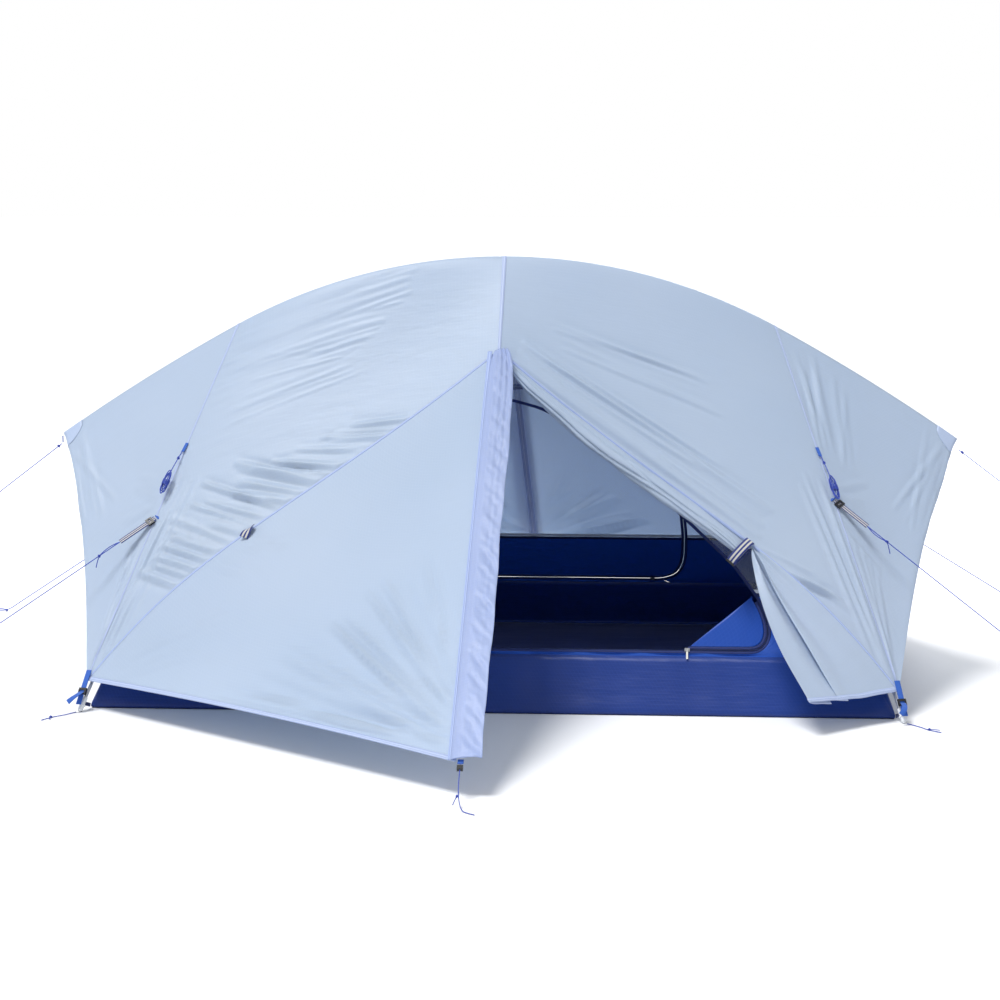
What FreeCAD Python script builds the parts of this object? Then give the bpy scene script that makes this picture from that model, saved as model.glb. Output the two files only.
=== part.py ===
import FreeCAD, Part
import math
import os
from FreeCAD import Vector

# Two-person backpacking tent: ridge pole on two A-shaped leg pairs, hung inner tent and a pitched fly.
# X runs along the ridge, -Y is the front (open) door, Z is up, origin on the ground under the apex.
os.makedirs("parts", exist_ok=True)
doc = FreeCAD.newDocument("tent")

# ---------------------------------------------------------------- sizes (mm)
SIZES = [
    ("half_length", 1051),      # pole feet, along the ridge
    ("half_width", 659),        # pole feet, front to back
    ("ridge_height", 1119),     # ridge pole axis at the middle
    ("hub_x_share", 0.6870),
    ("hub_z_share", 0.8329),
    ("tip_x_share", 1.1579),
    ("tip_z_share", 0.5612),
    ("pole_radius", 4.25),
    ("pole_wall", 0.7),
    ("ferrule_length", 62),
    ("foot_z", 6.5),
    ("fly_gap", 16),            # fly surface above the ridge pole axis
    ("fly_thickness", 2),
    ("fly_hem", 75),
    ("peak_y_share", 0.3338),
    ("peak_z_share", 0.8025),
    ("vestibule_depth", 791),
    ("corner_height", 80),
    ("flap_width", 75),
    ("tape_width", 8),
    ("tape_thickness", 1.5),
    ("inner_thickness", 1.5),
    ("bathtub_height", 140),
    ("sill_rise", 15),          # door sill above the bathtub's top edge
    ("slider_width", 9),
    ("slider_length", 13),
    ("slider_plate", 1.8),
    ("strap_width", 15),
    ("strap_thickness", 1.2),
    ("lock_width", 22),
    ("lock_length", 18),
    ("lock_thickness", 6),
    ("cord_radius", 1.25),
    ("thin_cord_radius", 1.1),
    ("roll_radius", 30),
]
sheet = doc.addObject("Spreadsheet::Sheet", "Sizes")
for row, (alias, value) in enumerate(SIZES, 1):
    sheet.set("A%d" % row, alias)
    sheet.set("B%d" % row, str(value))
    sheet.setAlias("B%d" % row, alias)
doc.recompute()


def size(alias):
    """Value of one sheet cell, in mm."""
    return float(getattr(sheet, alias))


nodes = []


def keep(obj, label):
    """Give an object its node name and put it on the export list."""
    obj.Label = label
    nodes.append(obj)
    return obj


def feature(label, shape):
    """A node whose shape is worked out in code: swept, slanted or draped work."""
    obj = doc.addObject("Part::Feature", label)
    obj.Shape = shape
    return keep(obj, label)


def group(label, solids):
    """A node of several separate like solids."""
    return feature(label, Part.makeCompound(solids))


def unit(v):
    """Vector of length one along v."""
    w = Vector(v)
    w.normalize()
    return w


def between(a, b, share):
    """Point at that share of the way from a to b."""
    return a + (b - a) * share


def oriented_box(start, along, across, length, width, thickness):
    """Flat bar from start along one way; width is centred, thickness is centred."""
    e = unit(along)
    n = unit(e.cross(across))
    w = unit(n.cross(e))
    a = start + w * (-width / 2) + n * (-thickness / 2)
    corners = [a, a + e * length, a + e * length + w * width, a + w * width, a]
    return Part.Face(Part.makePolygon(corners)).extrude(n * thickness)


def fan_solid(points, inward, shrink):
    """Closed skin: a fan of triangles from the first point, thickened by one vector.

    Every point moves towards the middle by the shrink share, so neighbours stay clear."""
    middle = Vector(0, 0, 0)
    for p in points:
        middle = middle + p
    middle = middle * (1.0 / len(points))
    outer = [between(p, middle, shrink) for p in points]
    inner = [p + inward for p in outer]
    faces = []
    count = len(outer)
    for i in range(1, count - 1):
        for ring in (outer, inner):
            faces.append(Part.Face(Part.makePolygon([ring[0], ring[i], ring[i + 1], ring[0]])))
    for i in range(count):
        j = (i + 1) % count
        loop = [outer[i], outer[j], inner[j], inner[i], outer[i]]
        faces.append(Part.Face(Part.makePolygon(loop)))
    solid = Part.Solid(Part.Shell(faces))
    if solid.Volume < 0:
        solid.reverse()
    return solid


def tube(edges, radius):
    """Round bar swept along joined edges."""
    wire = Part.Wire(edges)
    first = edges[0]
    at = first.valueAt(first.FirstParameter)
    way = first.tangentAt(first.FirstParameter)
    ring = Part.Wire(Part.Circle(at, way, radius).toShape())
    return wire.makePipeShell([ring], True, False)


def route(points):
    """Straight runs joined by tangent arcs, each arc's radius set by the shorter run and the turn."""
    edges = []
    radii = []
    last = points[0]
    for i in range(1, len(points) - 1):
        before = unit(points[i] - points[i - 1])
        after = unit(points[i + 1] - points[i])
        short = min((points[i] - points[i - 1]).Length, (points[i + 1] - points[i]).Length)
        turn = before.getAngle(after)
        setback = 0.45 * short
        radius = setback / math.tan(turn / 2)
        radii.append(radius)
        start = points[i] - before * setback
        end = points[i] + after * setback
        centre = points[i] + unit(after - before) * (radius / math.cos(turn / 2))
        mid = centre + unit(points[i] - centre) * radius
        edges.append(Part.LineSegment(last, start).toShape())
        edges.append(Part.Arc(start, mid, end).toShape())
        last = end
    edges.append(Part.LineSegment(last, points[-1]).toShape())
    return edges, radii


def cord(name, points, radius):
    """Cord solid along a route, with its bend radii and volume printed for checking."""
    edges, radii = route(points)
    solid = tube(edges, radius)
    length = sum(e.Length for e in edges)
    wanted = math.pi * radius ** 2 * length
    smallest = min(radii) if radii else 0
    print("%s: length %.0f mm, smallest bend %.1f mm, volume ratio %.4f"
          % (name, length, smallest, solid.Volume / wanted))
    return solid


QUARTERS = [("front_left", -1, -1), ("front_right", 1, -1), ("rear_left", -1, 1), ("rear_right", 1, 1)]
SIDES = [("left", -1), ("right", 1)]
ENDS = [("front", -1), ("rear", 1)]

# ---------------------------------------------------------------- frame lines
half_length = size("half_length")
half_width = size("half_width")
ridge_height = size("ridge_height")
hub_x = half_length * size("hub_x_share")
hub_z = ridge_height * size("hub_z_share")
tip_x = half_length * size("tip_x_share")
tip_z = ridge_height * size("tip_z_share")
pole_r = size("pole_radius")
foot_z = size("foot_z")


def arch_z(x, half_span, low, top):
    """Height of a circular arch: z = top - R + sqrt(R^2 - x^2), R from its span and rise."""
    rise = top - low
    radius = (half_span ** 2 + rise ** 2) / (2 * rise)
    return top - radius + math.sqrt(radius ** 2 - x ** 2)


def arch_edge(x0, x1):
    """Stretch of the ridge pole's axis between two x values, as one arc."""
    pts = [Vector(x, 0, arch_z(x, hub_x, hub_z, ridge_height)) for x in (x0, (x0 + x1) / 2, x1)]
    return Part.Arc(pts[0], pts[1], pts[2]).toShape()


hub = {sx: Vector(sx * hub_x, 0, hub_z) for _, sx in SIDES}
foot = {(sx, sy): Vector(sx * half_length, sy * half_width, foot_z) for _, sx, sy in QUARTERS}
tip = {sx: Vector(sx * tip_x, 0, tip_z) for _, sx in SIDES}
ridge_rise = ridge_height - hub_z
ridge_radius = (hub_x ** 2 + ridge_rise ** 2) / (2 * ridge_rise)
hub_slope = hub_x / (ridge_radius - ridge_rise)
hub_way = {sx: unit(Vector(sx, 0, -hub_slope)) for _, sx in SIDES}


def stub_edge(sx, clear):
    """Ridge pole's axis from the hub to the tip, tangent to the arch where it starts."""
    start = hub[sx] + hub_way[sx] * clear
    chord = tip[sx] - start
    swing = hub_way[sx].getAngle(chord)
    sagitta = chord.Length / 2 * math.tan(swing / 2)
    up = unit(Vector(-chord.z * sx, 0, chord.x * sx)) if swing > 1e-6 else Vector(0, 0, 1)
    return Part.Arc(start, between(start, tip[sx], 0.5) + up * sagitta, tip[sx]).toShape()


def hollow(edges):
    """Pole tube: outer bar less its bore."""
    return tube(edges, pole_r).cut(tube(edges, pole_r - size("pole_wall")))


clear = 1.0
arch_clear = clear * hub_way[1].x
feature("ridge_pole_centre", hollow([arch_edge(-hub_x + arch_clear, hub_x - arch_clear)]))
group("ridge_pole_ends", [hollow([stub_edge(sx, clear)]) for _, sx in SIDES])

leg_way = {key: unit(foot[key] - hub[key[0]]) for key in foot}
leg_top = {key: hub[key[0]] + leg_way[key] * 13 for key in foot}


def leg_line(key, low, high):
    """Straight stretch of a leg's axis between two distances above its foot end."""
    return Part.LineSegment(foot[key] - leg_way[key] * high, foot[key] - leg_way[key] * low).toShape()


leg_length = {key: (foot[key] - leg_top[key]).Length for key in foot}
group("leg_poles", [hollow([leg_line(key, 0, leg_length[key])]) for key in foot])

cords = [tube([arch_edge(-hub_x + 6, hub_x - 6)], 1.5)]
cords += [tube([stub_edge(sx, 6)], 1.5) for _, sx in SIDES]
cords += [tube([leg_line(key, 6, leg_length[key] - 6)], 1.5) for key in foot]
group("shock_cords", cords)

# Ferrule sleeves over every joint between pole sections.
sleeve = size("ferrule_length") / 2
sleeves = []
for x in (-0.5 * hub_x, 0, 0.5 * hub_x):
    edge = arch_edge(x - sleeve * 0.97, x + sleeve * 0.97)
    sleeves.append(tube([edge], pole_r + 0.65).cut(tube([edge], pole_r + 0.1)))
for _, sx in SIDES:
    whole = stub_edge(sx, clear)
    a, b = whole.FirstParameter, whole.LastParameter
    step = sleeve / whole.Length * (b - a)
    mid = (a + b) / 2
    pts = [whole.valueAt(mid + k * step) for k in (-1, 0, 1)]
    edge = Part.Arc(pts[0], pts[1], pts[2]).toShape()
    sleeves.append(tube([edge], pole_r + 0.65).cut(tube([edge], pole_r + 0.1)))
for key in foot:
    for share in (1 / 3, 2 / 3):
        at = leg_length[key] * share
        edge = leg_line(key, at - sleeve, at + sleeve)
        sleeves.append(tube([edge], pole_r + 0.65).cut(tube([edge], pole_r + 0.1)))
group("pole_ferrules", sleeves)

# Hubs: one socket each way along the ridge and one for each leg.
hubs = []
for _, sx in SIDES:
    parts = [Part.makeSphere(7.2, hub[sx])]
    bores = []
    for way in [hub_way[sx], hub_way[sx] * -1, leg_way[(sx, -1)], leg_way[(sx, 1)]]:
        parts.append(Part.makeCylinder(6.6, 30, hub[sx], way))
        bores.append(Part.makeCylinder(pole_r + 0.6, 60, hub[sx], way))
    body = parts[0].multiFuse(parts[1:]).removeSplitter()
    hubs.append(body.cut(bores[0].multiFuse(bores[1:])))
group("pole_hubs", hubs)

# Clear tips on the leg poles, each with a collar that holds the floor strap.
tips = []
for key in foot:
    up = leg_way[key] * -1
    shell = Part.makeCylinder(6.5, 34, foot[key], up)
    shell = shell.fuse(Part.makeSphere(6.5, foot[key]))
    shell = shell.fuse(Part.makeCylinder(9, 2, foot[key] + up * 12, up))
    tips.append(shell.cut(Part.makeCylinder(pole_r + 0.1, 40, foot[key] + up * -0.2, up)))
group("pole_foot_tips", tips)

caps = []
for _, sx in SIDES:
    edge = stub_edge(sx, clear)
    way = unit(edge.tangentAt(edge.LastParameter))
    if way.x * sx < 0:
        way = way * -1
    cap = Part.makeCylinder(5.6, 22, tip[sx] - way * 18, way)
    caps.append(cap.cut(Part.makeCylinder(pole_r + 0.1, 18.3, tip[sx] - way * 18, way)))
group("ridge_end_caps", caps)

# ---------------------------------------------------------------- inner tent
floor_x = half_length - 14
floor_y = half_width - 39
inner_ridge_x = 0.333 * half_length
inner_ridge_z = ridge_height - 69
inner_hub_x = hub_x - 22
inner_hub_z = hub_z - 32
skin = size("inner_thickness")

floor = doc.addObject("Part::Box", "inner_floor")
floor.setExpression("Length", "2 * (Sizes.half_length - 18)")
floor.setExpression("Width", "2 * (Sizes.half_width - 43)")
floor.setExpression("Height", "Sizes.inner_thickness")
floor.setExpression(".Placement.Base.x", "-(Sizes.half_length - 18)")
floor.setExpression(".Placement.Base.y", "-(Sizes.half_width - 43)")
keep(floor, "inner_floor")

wall_slope = math.hypot(floor_y, inner_ridge_z)
wall_up = floor_y / wall_slope, inner_ridge_z / wall_slope


def wall_frame(sy):
    """Axes of the long wall on one side: across, up the slope and outwards, from the floor's edge."""
    across = Vector(-sy, 0, 0)
    up = Vector(0, -sy * wall_up[0], wall_up[1])
    return Vector(0, sy * floor_y, 0), across, up, unit(across.cross(up))


def wall_point(sy, x, z, lift=0.0):
    """Point on a long wall at a height z; x runs to the right seen from outside."""
    origin, across, up, out = wall_frame(sy)
    return origin + across * x + up * (z / wall_up[1]) + out * lift


def wall_plate(sy, outline, depth, lift=0.0, hole=None):
    """Flat plate in a long wall from (x, z) corners, its outer face on the wall."""
    out = wall_frame(sy)[3]
    corners = [wall_point(sy, x, z, lift) for x, z in outline]
    face = Part.Face(Part.makePolygon(corners + [corners[0]]))
    if hole:
        inside = [wall_point(sy, x, z, lift) for x, z in hole]
        face = face.cut(Part.Face(Part.makePolygon(inside + [inside[0]])))
    return face.extrude(out * -depth)


def half_at(z):
    """Half length of the long wall at a height."""
    return floor_x + (inner_ridge_x - floor_x) * z / inner_ridge_z


low = size("bathtub_height")
sill = low + size("sill_rise")
door_scale = (inner_ridge_x + floor_x) / 1386.0
top_scale = (inner_ridge_z - sill) / 895.0
DOOR = [(-430, 0), (-474, 16), (-492, 60), (-494, 140), (-484, 250), (-452, 360), (-392, 460), (-300, 540),
        (-190, 590), (-80, 607), (20, 603), (110, 580), (200, 535), (320, 447), (480, 322), (620, 200),
        (690, 112), (712, 62), (712, 24), (690, 0)]
door_line = [(x * door_scale, sill + z * top_scale) for x, z in DOOR]


def offset_line(outline, distance):
    """Outline moved outwards (or inwards, if negative) by a distance measured on the slope."""
    up = wall_up[1]
    flat = [Vector(x, z / up, 0) for x, z in outline]
    wire = Part.makePolygon(flat + [flat[0]])
    moved = wire.makeOffset2D(distance, 2)
    pts = [v.Point for v in moved.OrderedVertexes]
    return [(p.x, p.y * up) for p in pts]


gap = 1.0
tape = size("tape_width")
frame_edge = offset_line(door_line, gap + tape + 0.5)
frame_tape = (offset_line(door_line, gap + tape), offset_line(door_line, gap))
door_tape = (offset_line(door_line, -gap), offset_line(door_line, -gap - tape))
door_edge = offset_line(door_line, -gap - tape - 0.5)
wall_outline = [(-half_at(low + 0.5) + 3, low + 0.5), (half_at(low + 0.5) - 3, low + 0.5),
                (inner_ridge_x - 3, inner_ridge_z - 3), (-inner_ridge_x + 3, inner_ridge_z - 3)]
for name, sy in ENDS:
    feature("inner_%s_wall" % name, wall_plate(sy, wall_outline, skin, 0, frame_edge))
    bath = [(-half_at(2) + 4, 2), (half_at(2) - 4, 2), (half_at(low) - 4, low), (-half_at(low) + 4, low)]
    if name == "front":
        bath_walls = [wall_plate(sy, bath, skin)]
    else:
        bath_walls.append(wall_plate(sy, bath, skin))

# End walls and the narrow hips between them and the long walls.
inner_corner = {(sx, sy): Vector(sx * floor_x, sy * floor_y, 0) for _, sx, sy in QUARTERS}
for name, sx in SIDES:
    peak = Vector(sx * inner_hub_x, 0, inner_hub_z)
    ridge_end = Vector(sx * inner_ridge_x, 0, inner_ridge_z)
    front = inner_corner[(sx, -1)]
    rear = inner_corner[(sx, 1)]
    out = unit((rear - front).cross(peak - front)) * sx
    low_front = between(front, peak, low / inner_hub_z)
    low_rear = between(rear, peak, low / inner_hub_z)
    solids = [fan_solid([peak, low_front, low_rear], out * -skin, 0.008)]
    edge_front = between(front, peak, 2.5 / inner_hub_z)
    edge_rear = between(rear, peak, 2.5 / inner_hub_z)
    bath_walls.append(fan_solid([edge_front, edge_rear, low_rear, low_front], out * -skin, 0.006))
    for corner, sy in ((front, -1), (rear, 1)):
        lift = between(corner, between(ridge_end, peak, 0.5), 0.02)
        side = (ridge_end - corner).cross(peak - corner)
        side = unit(side) * (1 if side.y * sy > 0 else -1)
        solids.append(fan_solid([lift, ridge_end, peak], side * -skin, 0.012))
    group("inner_end_%s" % name, solids)
group("bathtub_walls", bath_walls)

# Rear door closed; the front one is open but for its lower right corner, the rest lies bunched inside.
feature("inner_rear_door", wall_plate(1, door_edge, skin))
k = door_scale
fold = (505 * k, 675 * k)
corner_box = [(fold[0] + 8, sill), (760 * k, sill - 20), (760 * k, sill + 135 * top_scale),
              (fold[1], sill + 130 * top_scale)]
corner_piece = wall_plate(-1, door_edge, skin).common(wall_plate(-1, corner_box, skin))
lower = wall_point(-1, fold[0] + 12, sill + 8, -3)
upper = wall_point(-1, fold[1] - 4, sill + 118 * top_scale, -3)
low_right = Vector(660 * k, -floor_y + 132, 70)
low_left = Vector(420 * k, -floor_y + 132, 70)
hang = fan_solid([upper, lower, low_left, low_right], Vector(0, 1.6, 0.6), 0.01)
bunch = Part.makeCylinder(28, 380 * k, Vector(300 * k, -floor_y + 138, 34), Vector(1, 0, 0))
group("inner_front_door", [corner_piece, hang, bunch])

tape_t = size("tape_thickness")
for name, sy in ENDS:
    ring = wall_plate(sy, frame_tape[0], tape_t, 0, frame_tape[1])
    inside = wall_plate(sy, door_tape[0], tape_t, 0, door_tape[1])
    if name == "front":
        closed = [(fold[0], sill - 20), (760 * k, sill - 20), (760 * k, sill + 120 * top_scale),
                  (fold[1] + 10, sill + 120 * top_scale)]
        inside = inside.common(wall_plate(sy, closed, tape_t))
    group("inner_%s_zip" % name, [ring, inside])

# ---------------------------------------------------------------- zip sliders and pulls
def block(name, expressions):
    """Box primitive; the six expressions are its length, width, height and corner."""
    box = doc.addObject("Part::Box", name)
    paths = ("Length", "Width", "Height", ".Placement.Base.x", ".Placement.Base.y", ".Placement.Base.z")
    for path, expression in zip(paths, expressions):
        box.setExpression(path, expression)
    return box


def rod(name, radius, height, base, axis):
    """Cylinder primitive laid along an axis from a base point."""
    bar = doc.addObject("Part::Cylinder", name)
    bar.setExpression("Radius", radius)
    bar.setExpression("Height", height)
    bar.Placement = FreeCAD.Placement(Vector(*base), FreeCAD.Rotation(Vector(0, 0, 1), Vector(*axis)))
    return bar


def placed(origin, across, along, out):
    """Placement whose local X, Y and Z run across, along and out."""
    return FreeCAD.Placement(origin, FreeCAD.Rotation(across, along, out, "ZXY"))


PLATE = "Sizes.slider_plate"
WIDE = "Sizes.slider_width"
LONG = "Sizes.slider_length"


def slider(label, where, pin_along=False):
    """Zip slider: two plates joined by a web through the slit, with lugs and a pin for its pull.

    The pin lies across the zip, or along it where the zip is level and the pull hangs off it."""
    half = "-%s / 2" % WIDE
    back = "-%s / 2" % LONG
    parts = [
        block(label + "_top", [WIDE, LONG, PLATE, half, back, "0.4"]),
        block(label + "_under", [WIDE, LONG, PLATE, half, back, "-Sizes.tape_thickness - 0.4 - " + PLATE]),
        block(label + "_web", ["1.2", "8", "Sizes.tape_thickness + 1.2", "-0.6", "-4",
                               "-Sizes.tape_thickness - 0.6"]),
    ]
    top = "%s + 0.2" % PLATE
    if pin_along:
        parts.append(block(label + "_lug_a", ["2.6", "0.9", "3.4", "-1.3", "1.3", top]))
        parts.append(block(label + "_lug_b", ["2.6", "0.9", "3.4", "-1.3", "-2.2", top]))
        parts.append(rod(label + "_pin", "0.5", "4", (0, -2, 3.9), (0, 1, 0)))
    else:
        parts.append(block(label + "_lug_a", ["0.9", "2.6", "3.4", "1.3", "-1.3", top]))
        parts.append(block(label + "_lug_b", ["0.9", "2.6", "3.4", "-2.2", "-1.3", top]))
        parts.append(rod(label + "_pin", "0.5", "4", (-2, 0, 3.9), (1, 0, 0)))
    fused = doc.addObject("Part::MultiFuse", label)
    fused.Shapes = parts
    fused.Placement = where
    return keep(fused, label)


def pull(label, where, length):
    """Zip pull: an eye round the slider's pin and a flat tab, hanging along local -Y."""
    eye = rod(label + "_eye", "1.25", "1.8", (-0.9, 0, 0), (1, 0, 0))
    neck = block(label + "_neck", ["1.8", "6", "1", "-0.9", "-6.5", "-0.5"])
    tab = block(label + "_tab", ["5", "%g" % length, "1", "-2.5", "%g" % (-6 - length), "-0.5"])
    fused = doc.addObject("Part::MultiFuse", label + "_solid")
    fused.Shapes = [eye, neck, tab]
    hole = rod(label + "_hole", "0.8", "4", (-2, 0, 0), (1, 0, 0))
    done = doc.addObject("Part::Cut", label)
    done.Base = fused
    done.Tool = hole
    done.Placement = where
    return keep(done, label)


PIN_LIFT = 3.9
for name, sy in ENDS:
    origin, across, up, out = wall_frame(sy)
    x = fold[0] if sy < 0 else -400 * k
    at = wall_point(sy, x, sill)
    slider("inner_%s_slider" % name, placed(at, up * -1, across, out), True)
    pin = at + out * PIN_LIFT
    # The pull lies down the wall from the slider.
    pull("inner_%s_pull" % name, placed(pin, across, up, out), 20)

# ---------------------------------------------------------------- fly
fly_gap = size("fly_gap")
fly_t = size("fly_thickness")
fly_hub = {sx: Vector(sx * (hub_x + 14), 0, hub_z + fly_gap) for _, sx in SIDES}
fly_tip = {sx: Vector(sx * (tip_x + 16), 0, tip_z + 14) for _, sx in SIDES}
apex_z = ridge_height + fly_gap
fly_peak = {}
fly_corner = {}
for _, sy in ENDS:
    fly_peak[sy] = Vector(0, sy * half_width * size("peak_y_share"), ridge_height * size("peak_z_share"))
    fly_corner[sy] = Vector(0, sy * (half_width + size("vestibule_depth")), size("corner_height"))
fly_foot = {}
for _, sx, sy in QUARTERS:
    ground = Vector(sx * (half_length + 16), sy * (half_width + 16.5), 0)
    fly_foot[(sx, sy)] = between(ground, fly_hub[sx], size("fly_hem") / fly_hub[sx].z)


def outward(a, b, c, guide):
    """Unit normal of three points, on the side the guide points to."""
    n = unit((b - a).cross(c - a))
    return n if n.dot(guide) > 0 else n * -1


body_out = {}
end_out = {}
for name, sx, sy in QUARTERS:
    peak = fly_peak[sy]
    top = fly_hub[sx]
    low_end = fly_foot[(sx, sy)]
    n = outward(peak, top, low_end, Vector(0, sy, 1))
    body_out[(sx, sy)] = n
    steps = 6
    arch = []
    for i in range(steps + 1):
        x = top.x * i / steps
        arch.append(Vector(x, sy * 1.2, arch_z(x, abs(top.x), top.z, apex_z)))
    feature("fly_body_%s" % name, fan_solid([peak] + arch + [low_end], n * -fly_t, 0.006))

for name, sx in SIDES:
    top = fly_hub[sx]
    end = fly_tip[sx]
    bulge = Vector(0.52 * sx, 0, 0.85) * (8 * (end - top).Length / 584)
    ridge_mid = between(top, end, 0.5) + bulge
    solids = []
    for _, sy in ENDS:
        low_end = fly_foot[(sx, sy)]
        n = outward(low_end, top, end, Vector(sx, sy, 1))
        end_out[(sx, sy)] = n
        lift = Vector(0, sy * 1.2, 0)
        solids.append(fan_solid([low_end, top + lift, ridge_mid + lift, end + lift], n * -fly_t, 0.008))
    n = outward(end, fly_foot[(sx, -1)], fly_foot[(sx, 1)], Vector(sx, 0, 0))
    solids.append(fan_solid([end, fly_foot[(sx, -1)], fly_foot[(sx, 1)]], n * -fly_t, 0.010))
    group("fly_end_%s" % name, solids)


def door_frame(sy):
    """Axes of the vestibule zip: across, up the slope to the peak, and outwards."""
    across = Vector(-sy, 0, 0)
    up = unit(fly_peak[sy] - fly_corner[sy])
    return across, up, unit(across.cross(up))


def door_point(sy, x, y, z):
    """Point by the vestibule zip: x across, y up from the peak (negative is down), z outwards."""
    across, up, out = door_frame(sy)
    return fly_peak[sy] + across * x + up * y + out * z


def door_box(sy, x0, x1, y0, y1, z0, z1):
    """Bar laid along the vestibule zip."""
    a = [door_point(sy, x0, y0, z0), door_point(sy, x1, y0, z0), door_point(sy, x1, y1, z0),
         door_point(sy, x0, y1, z0)]
    face = Part.Face(Part.makePolygon(a + [a[0]]))
    return face.extrude(door_frame(sy)[2] * (z1 - z0))


def door_height(sy, x):
    """Height of the closed door's plane above the vestibule zip, at x across it."""
    start = fly_peak[sy] + Vector(math.copysign(gap + tape + 1, -x * sy), 0, 0)
    far = fly_foot[(1 if start.x > 0 else -1, sy)]
    n = outward(start, far, fly_corner[sy] + start - fly_peak[sy], Vector(0, sy, 1))
    return n.dot(start - door_point(sy, x, 0, 0)) / n.dot(door_frame(sy)[2])


zip_length = (fly_peak[-1] - fly_corner[-1]).Length
flap_out = size("flap_width") - 27
root_gap = 0.8              # between the flap's sewn root and the door under it
for name, sy in ENDS:
    root_low = door_height(sy, -22) + root_gap
    plate = door_box(sy, -27, flap_out, -zip_length + 8, -14, 9, 10.5)
    root = door_box(sy, -27, -22, -zip_length + 8, -14, root_low, 9.5)
    print("flap root %s: %.2f" % (name, root_low))
    feature("storm_flap_%s" % name, plate.fuse(root).removeSplitter())
    tapes = [door_box(sy, -gap - tape, -gap, -zip_length + 12, -10, -tape_t, 0)]
    if name == "rear":
        tapes.append(door_box(sy, gap, gap + tape, -zip_length + 12, -10, -tape_t, 0))
    group("fly_%s_zip" % name, tapes)

for name, sx, sy in QUARTERS:
    if name == "front_right":
        continue
    side = Vector(sx * (gap + tape + 1), 0, 0)
    corners = [fly_peak[sy] + side, fly_foot[(sx, sy)], fly_corner[sy] + side]
    n = outward(corners[0], corners[1], corners[2], Vector(0, sy, 1))
    feature("fly_door_%s" % name, fan_solid(corners, n * -fly_t, 0.008))

# Front right door: rolled up under its seam as far as the tie-back, then hanging loose to the hem.
peak = fly_peak[-1]
low_end = fly_foot[(1, -1)]
corner = fly_corner[-1]
door_out = outward(peak, low_end, corner, Vector(0, -1, 1))
seam = unit(low_end - peak)
inwards = unit(door_out.cross(seam))
if inwards.dot(corner - peak) < 0:
    inwards = inwards * -1
roll_r = size("roll_radius")
tie_share = 0.612
stations = [(0.035, 0.30), (0.10, 0.72), (0.24, 0.95), (0.38, 1.0), (0.49, 0.92), (0.57, 0.62),
            (tie_share - 0.016, 0.42), (tie_share + 0.016, 0.42), (0.655, 0.50)]
rings = []
for share, swell in stations:
    r = roll_r * swell
    centre = between(peak, low_end, share) + inwards * (r + 6) - door_out * (r * 0.35 + 3)
    rings.append(Part.Wire(Part.Circle(centre, seam, r).toShape()))
roll = Part.makeLoft(rings, True, True)
hem_point = between(low_end, corner, 0.235)
tie_point = between(peak, low_end, 0.63)
drape = [tie_point + inwards * 5, low_end + inwards * 5 - seam * 14, hem_point + inwards * 2]
drape_solid = fan_solid([p - door_out * 5 for p in drape], door_out * -12, 0.006)
feature("fly_door_front_right", roll.fuse(drape_solid).removeSplitter())

# Sliders on the vestibule zips, pulls hanging inside.
fly_slider_y = {-1: -62.0, 1: -zip_length + 40}
for name, sy in ENDS:
    across, up, out = door_frame(sy)
    at = door_point(sy, 0, fly_slider_y[sy], -tape_t)
    slider("fly_%s_slider" % name, placed(at, across * -1, up, out * -1))
    pin = at - out * PIN_LIFT
    down = Vector(0, 0, -1)
    pull("fly_%s_pull" % name, placed(pin, across * -1, down * -1, unit((across * -1).cross(down * -1))), 22)

# ---------------------------------------------------------------- clips between poles and inner
def clip(at, way, target):
    """Hook clip: an open ring round the pole and a tab to the inner tent."""
    ring = Part.makeCylinder(6.2, 9, at - way * 4.5, way)
    ring = ring.cut(Part.makeCylinder(pole_r + 0.3, 12, at - way * 6, way))
    reach = target - at
    reach = reach - way * reach.dot(way)
    mouth = oriented_box(at - unit(reach) * 2.5, reach * -1, way.cross(reach), 8, 5, 20)
    ring = ring.cut(mouth)
    tab = oriented_box(at + unit(reach) * 5.4, reach, way, reach.Length - 6.6, 8, 1.4)
    return ring.fuse(tab)


clips = []
for x in (-0.83, -0.42, 0.42, 0.83):
    px = x * hub_x
    at = Vector(px, 0, arch_z(px, hub_x, hub_z, ridge_height))
    slope = px / math.sqrt(ridge_radius ** 2 - px ** 2)
    if abs(px) < inner_ridge_x:
        goal_z = inner_ridge_z
    else:
        beyond = (abs(px) - inner_ridge_x) / (inner_hub_x - inner_ridge_x)
        goal_z = inner_ridge_z + (inner_hub_z - inner_ridge_z) * beyond
    clips.append(clip(at, unit(Vector(1, 0, -slope)), Vector(px, 0, goal_z + 1)))
for key in foot:
    edge_low = inner_corner[key]
    edge_high = Vector(key[0] * inner_hub_x, 0, inner_hub_z)
    edge_way = unit(edge_high - edge_low)
    for share in (0.30, 0.62, 0.84):
        at = between(leg_top[key], foot[key], share)
        goal = edge_low + edge_way * (at - edge_low).dot(edge_way)
        clips.append(clip(at, leg_way[key], goal))
group("pole_clips", clips)

# ---------------------------------------------------------------- straps, locks and tabs
strap_w = size("strap_width")
strap_t = size("strap_thickness")
lock_l = size("lock_length")


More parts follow.
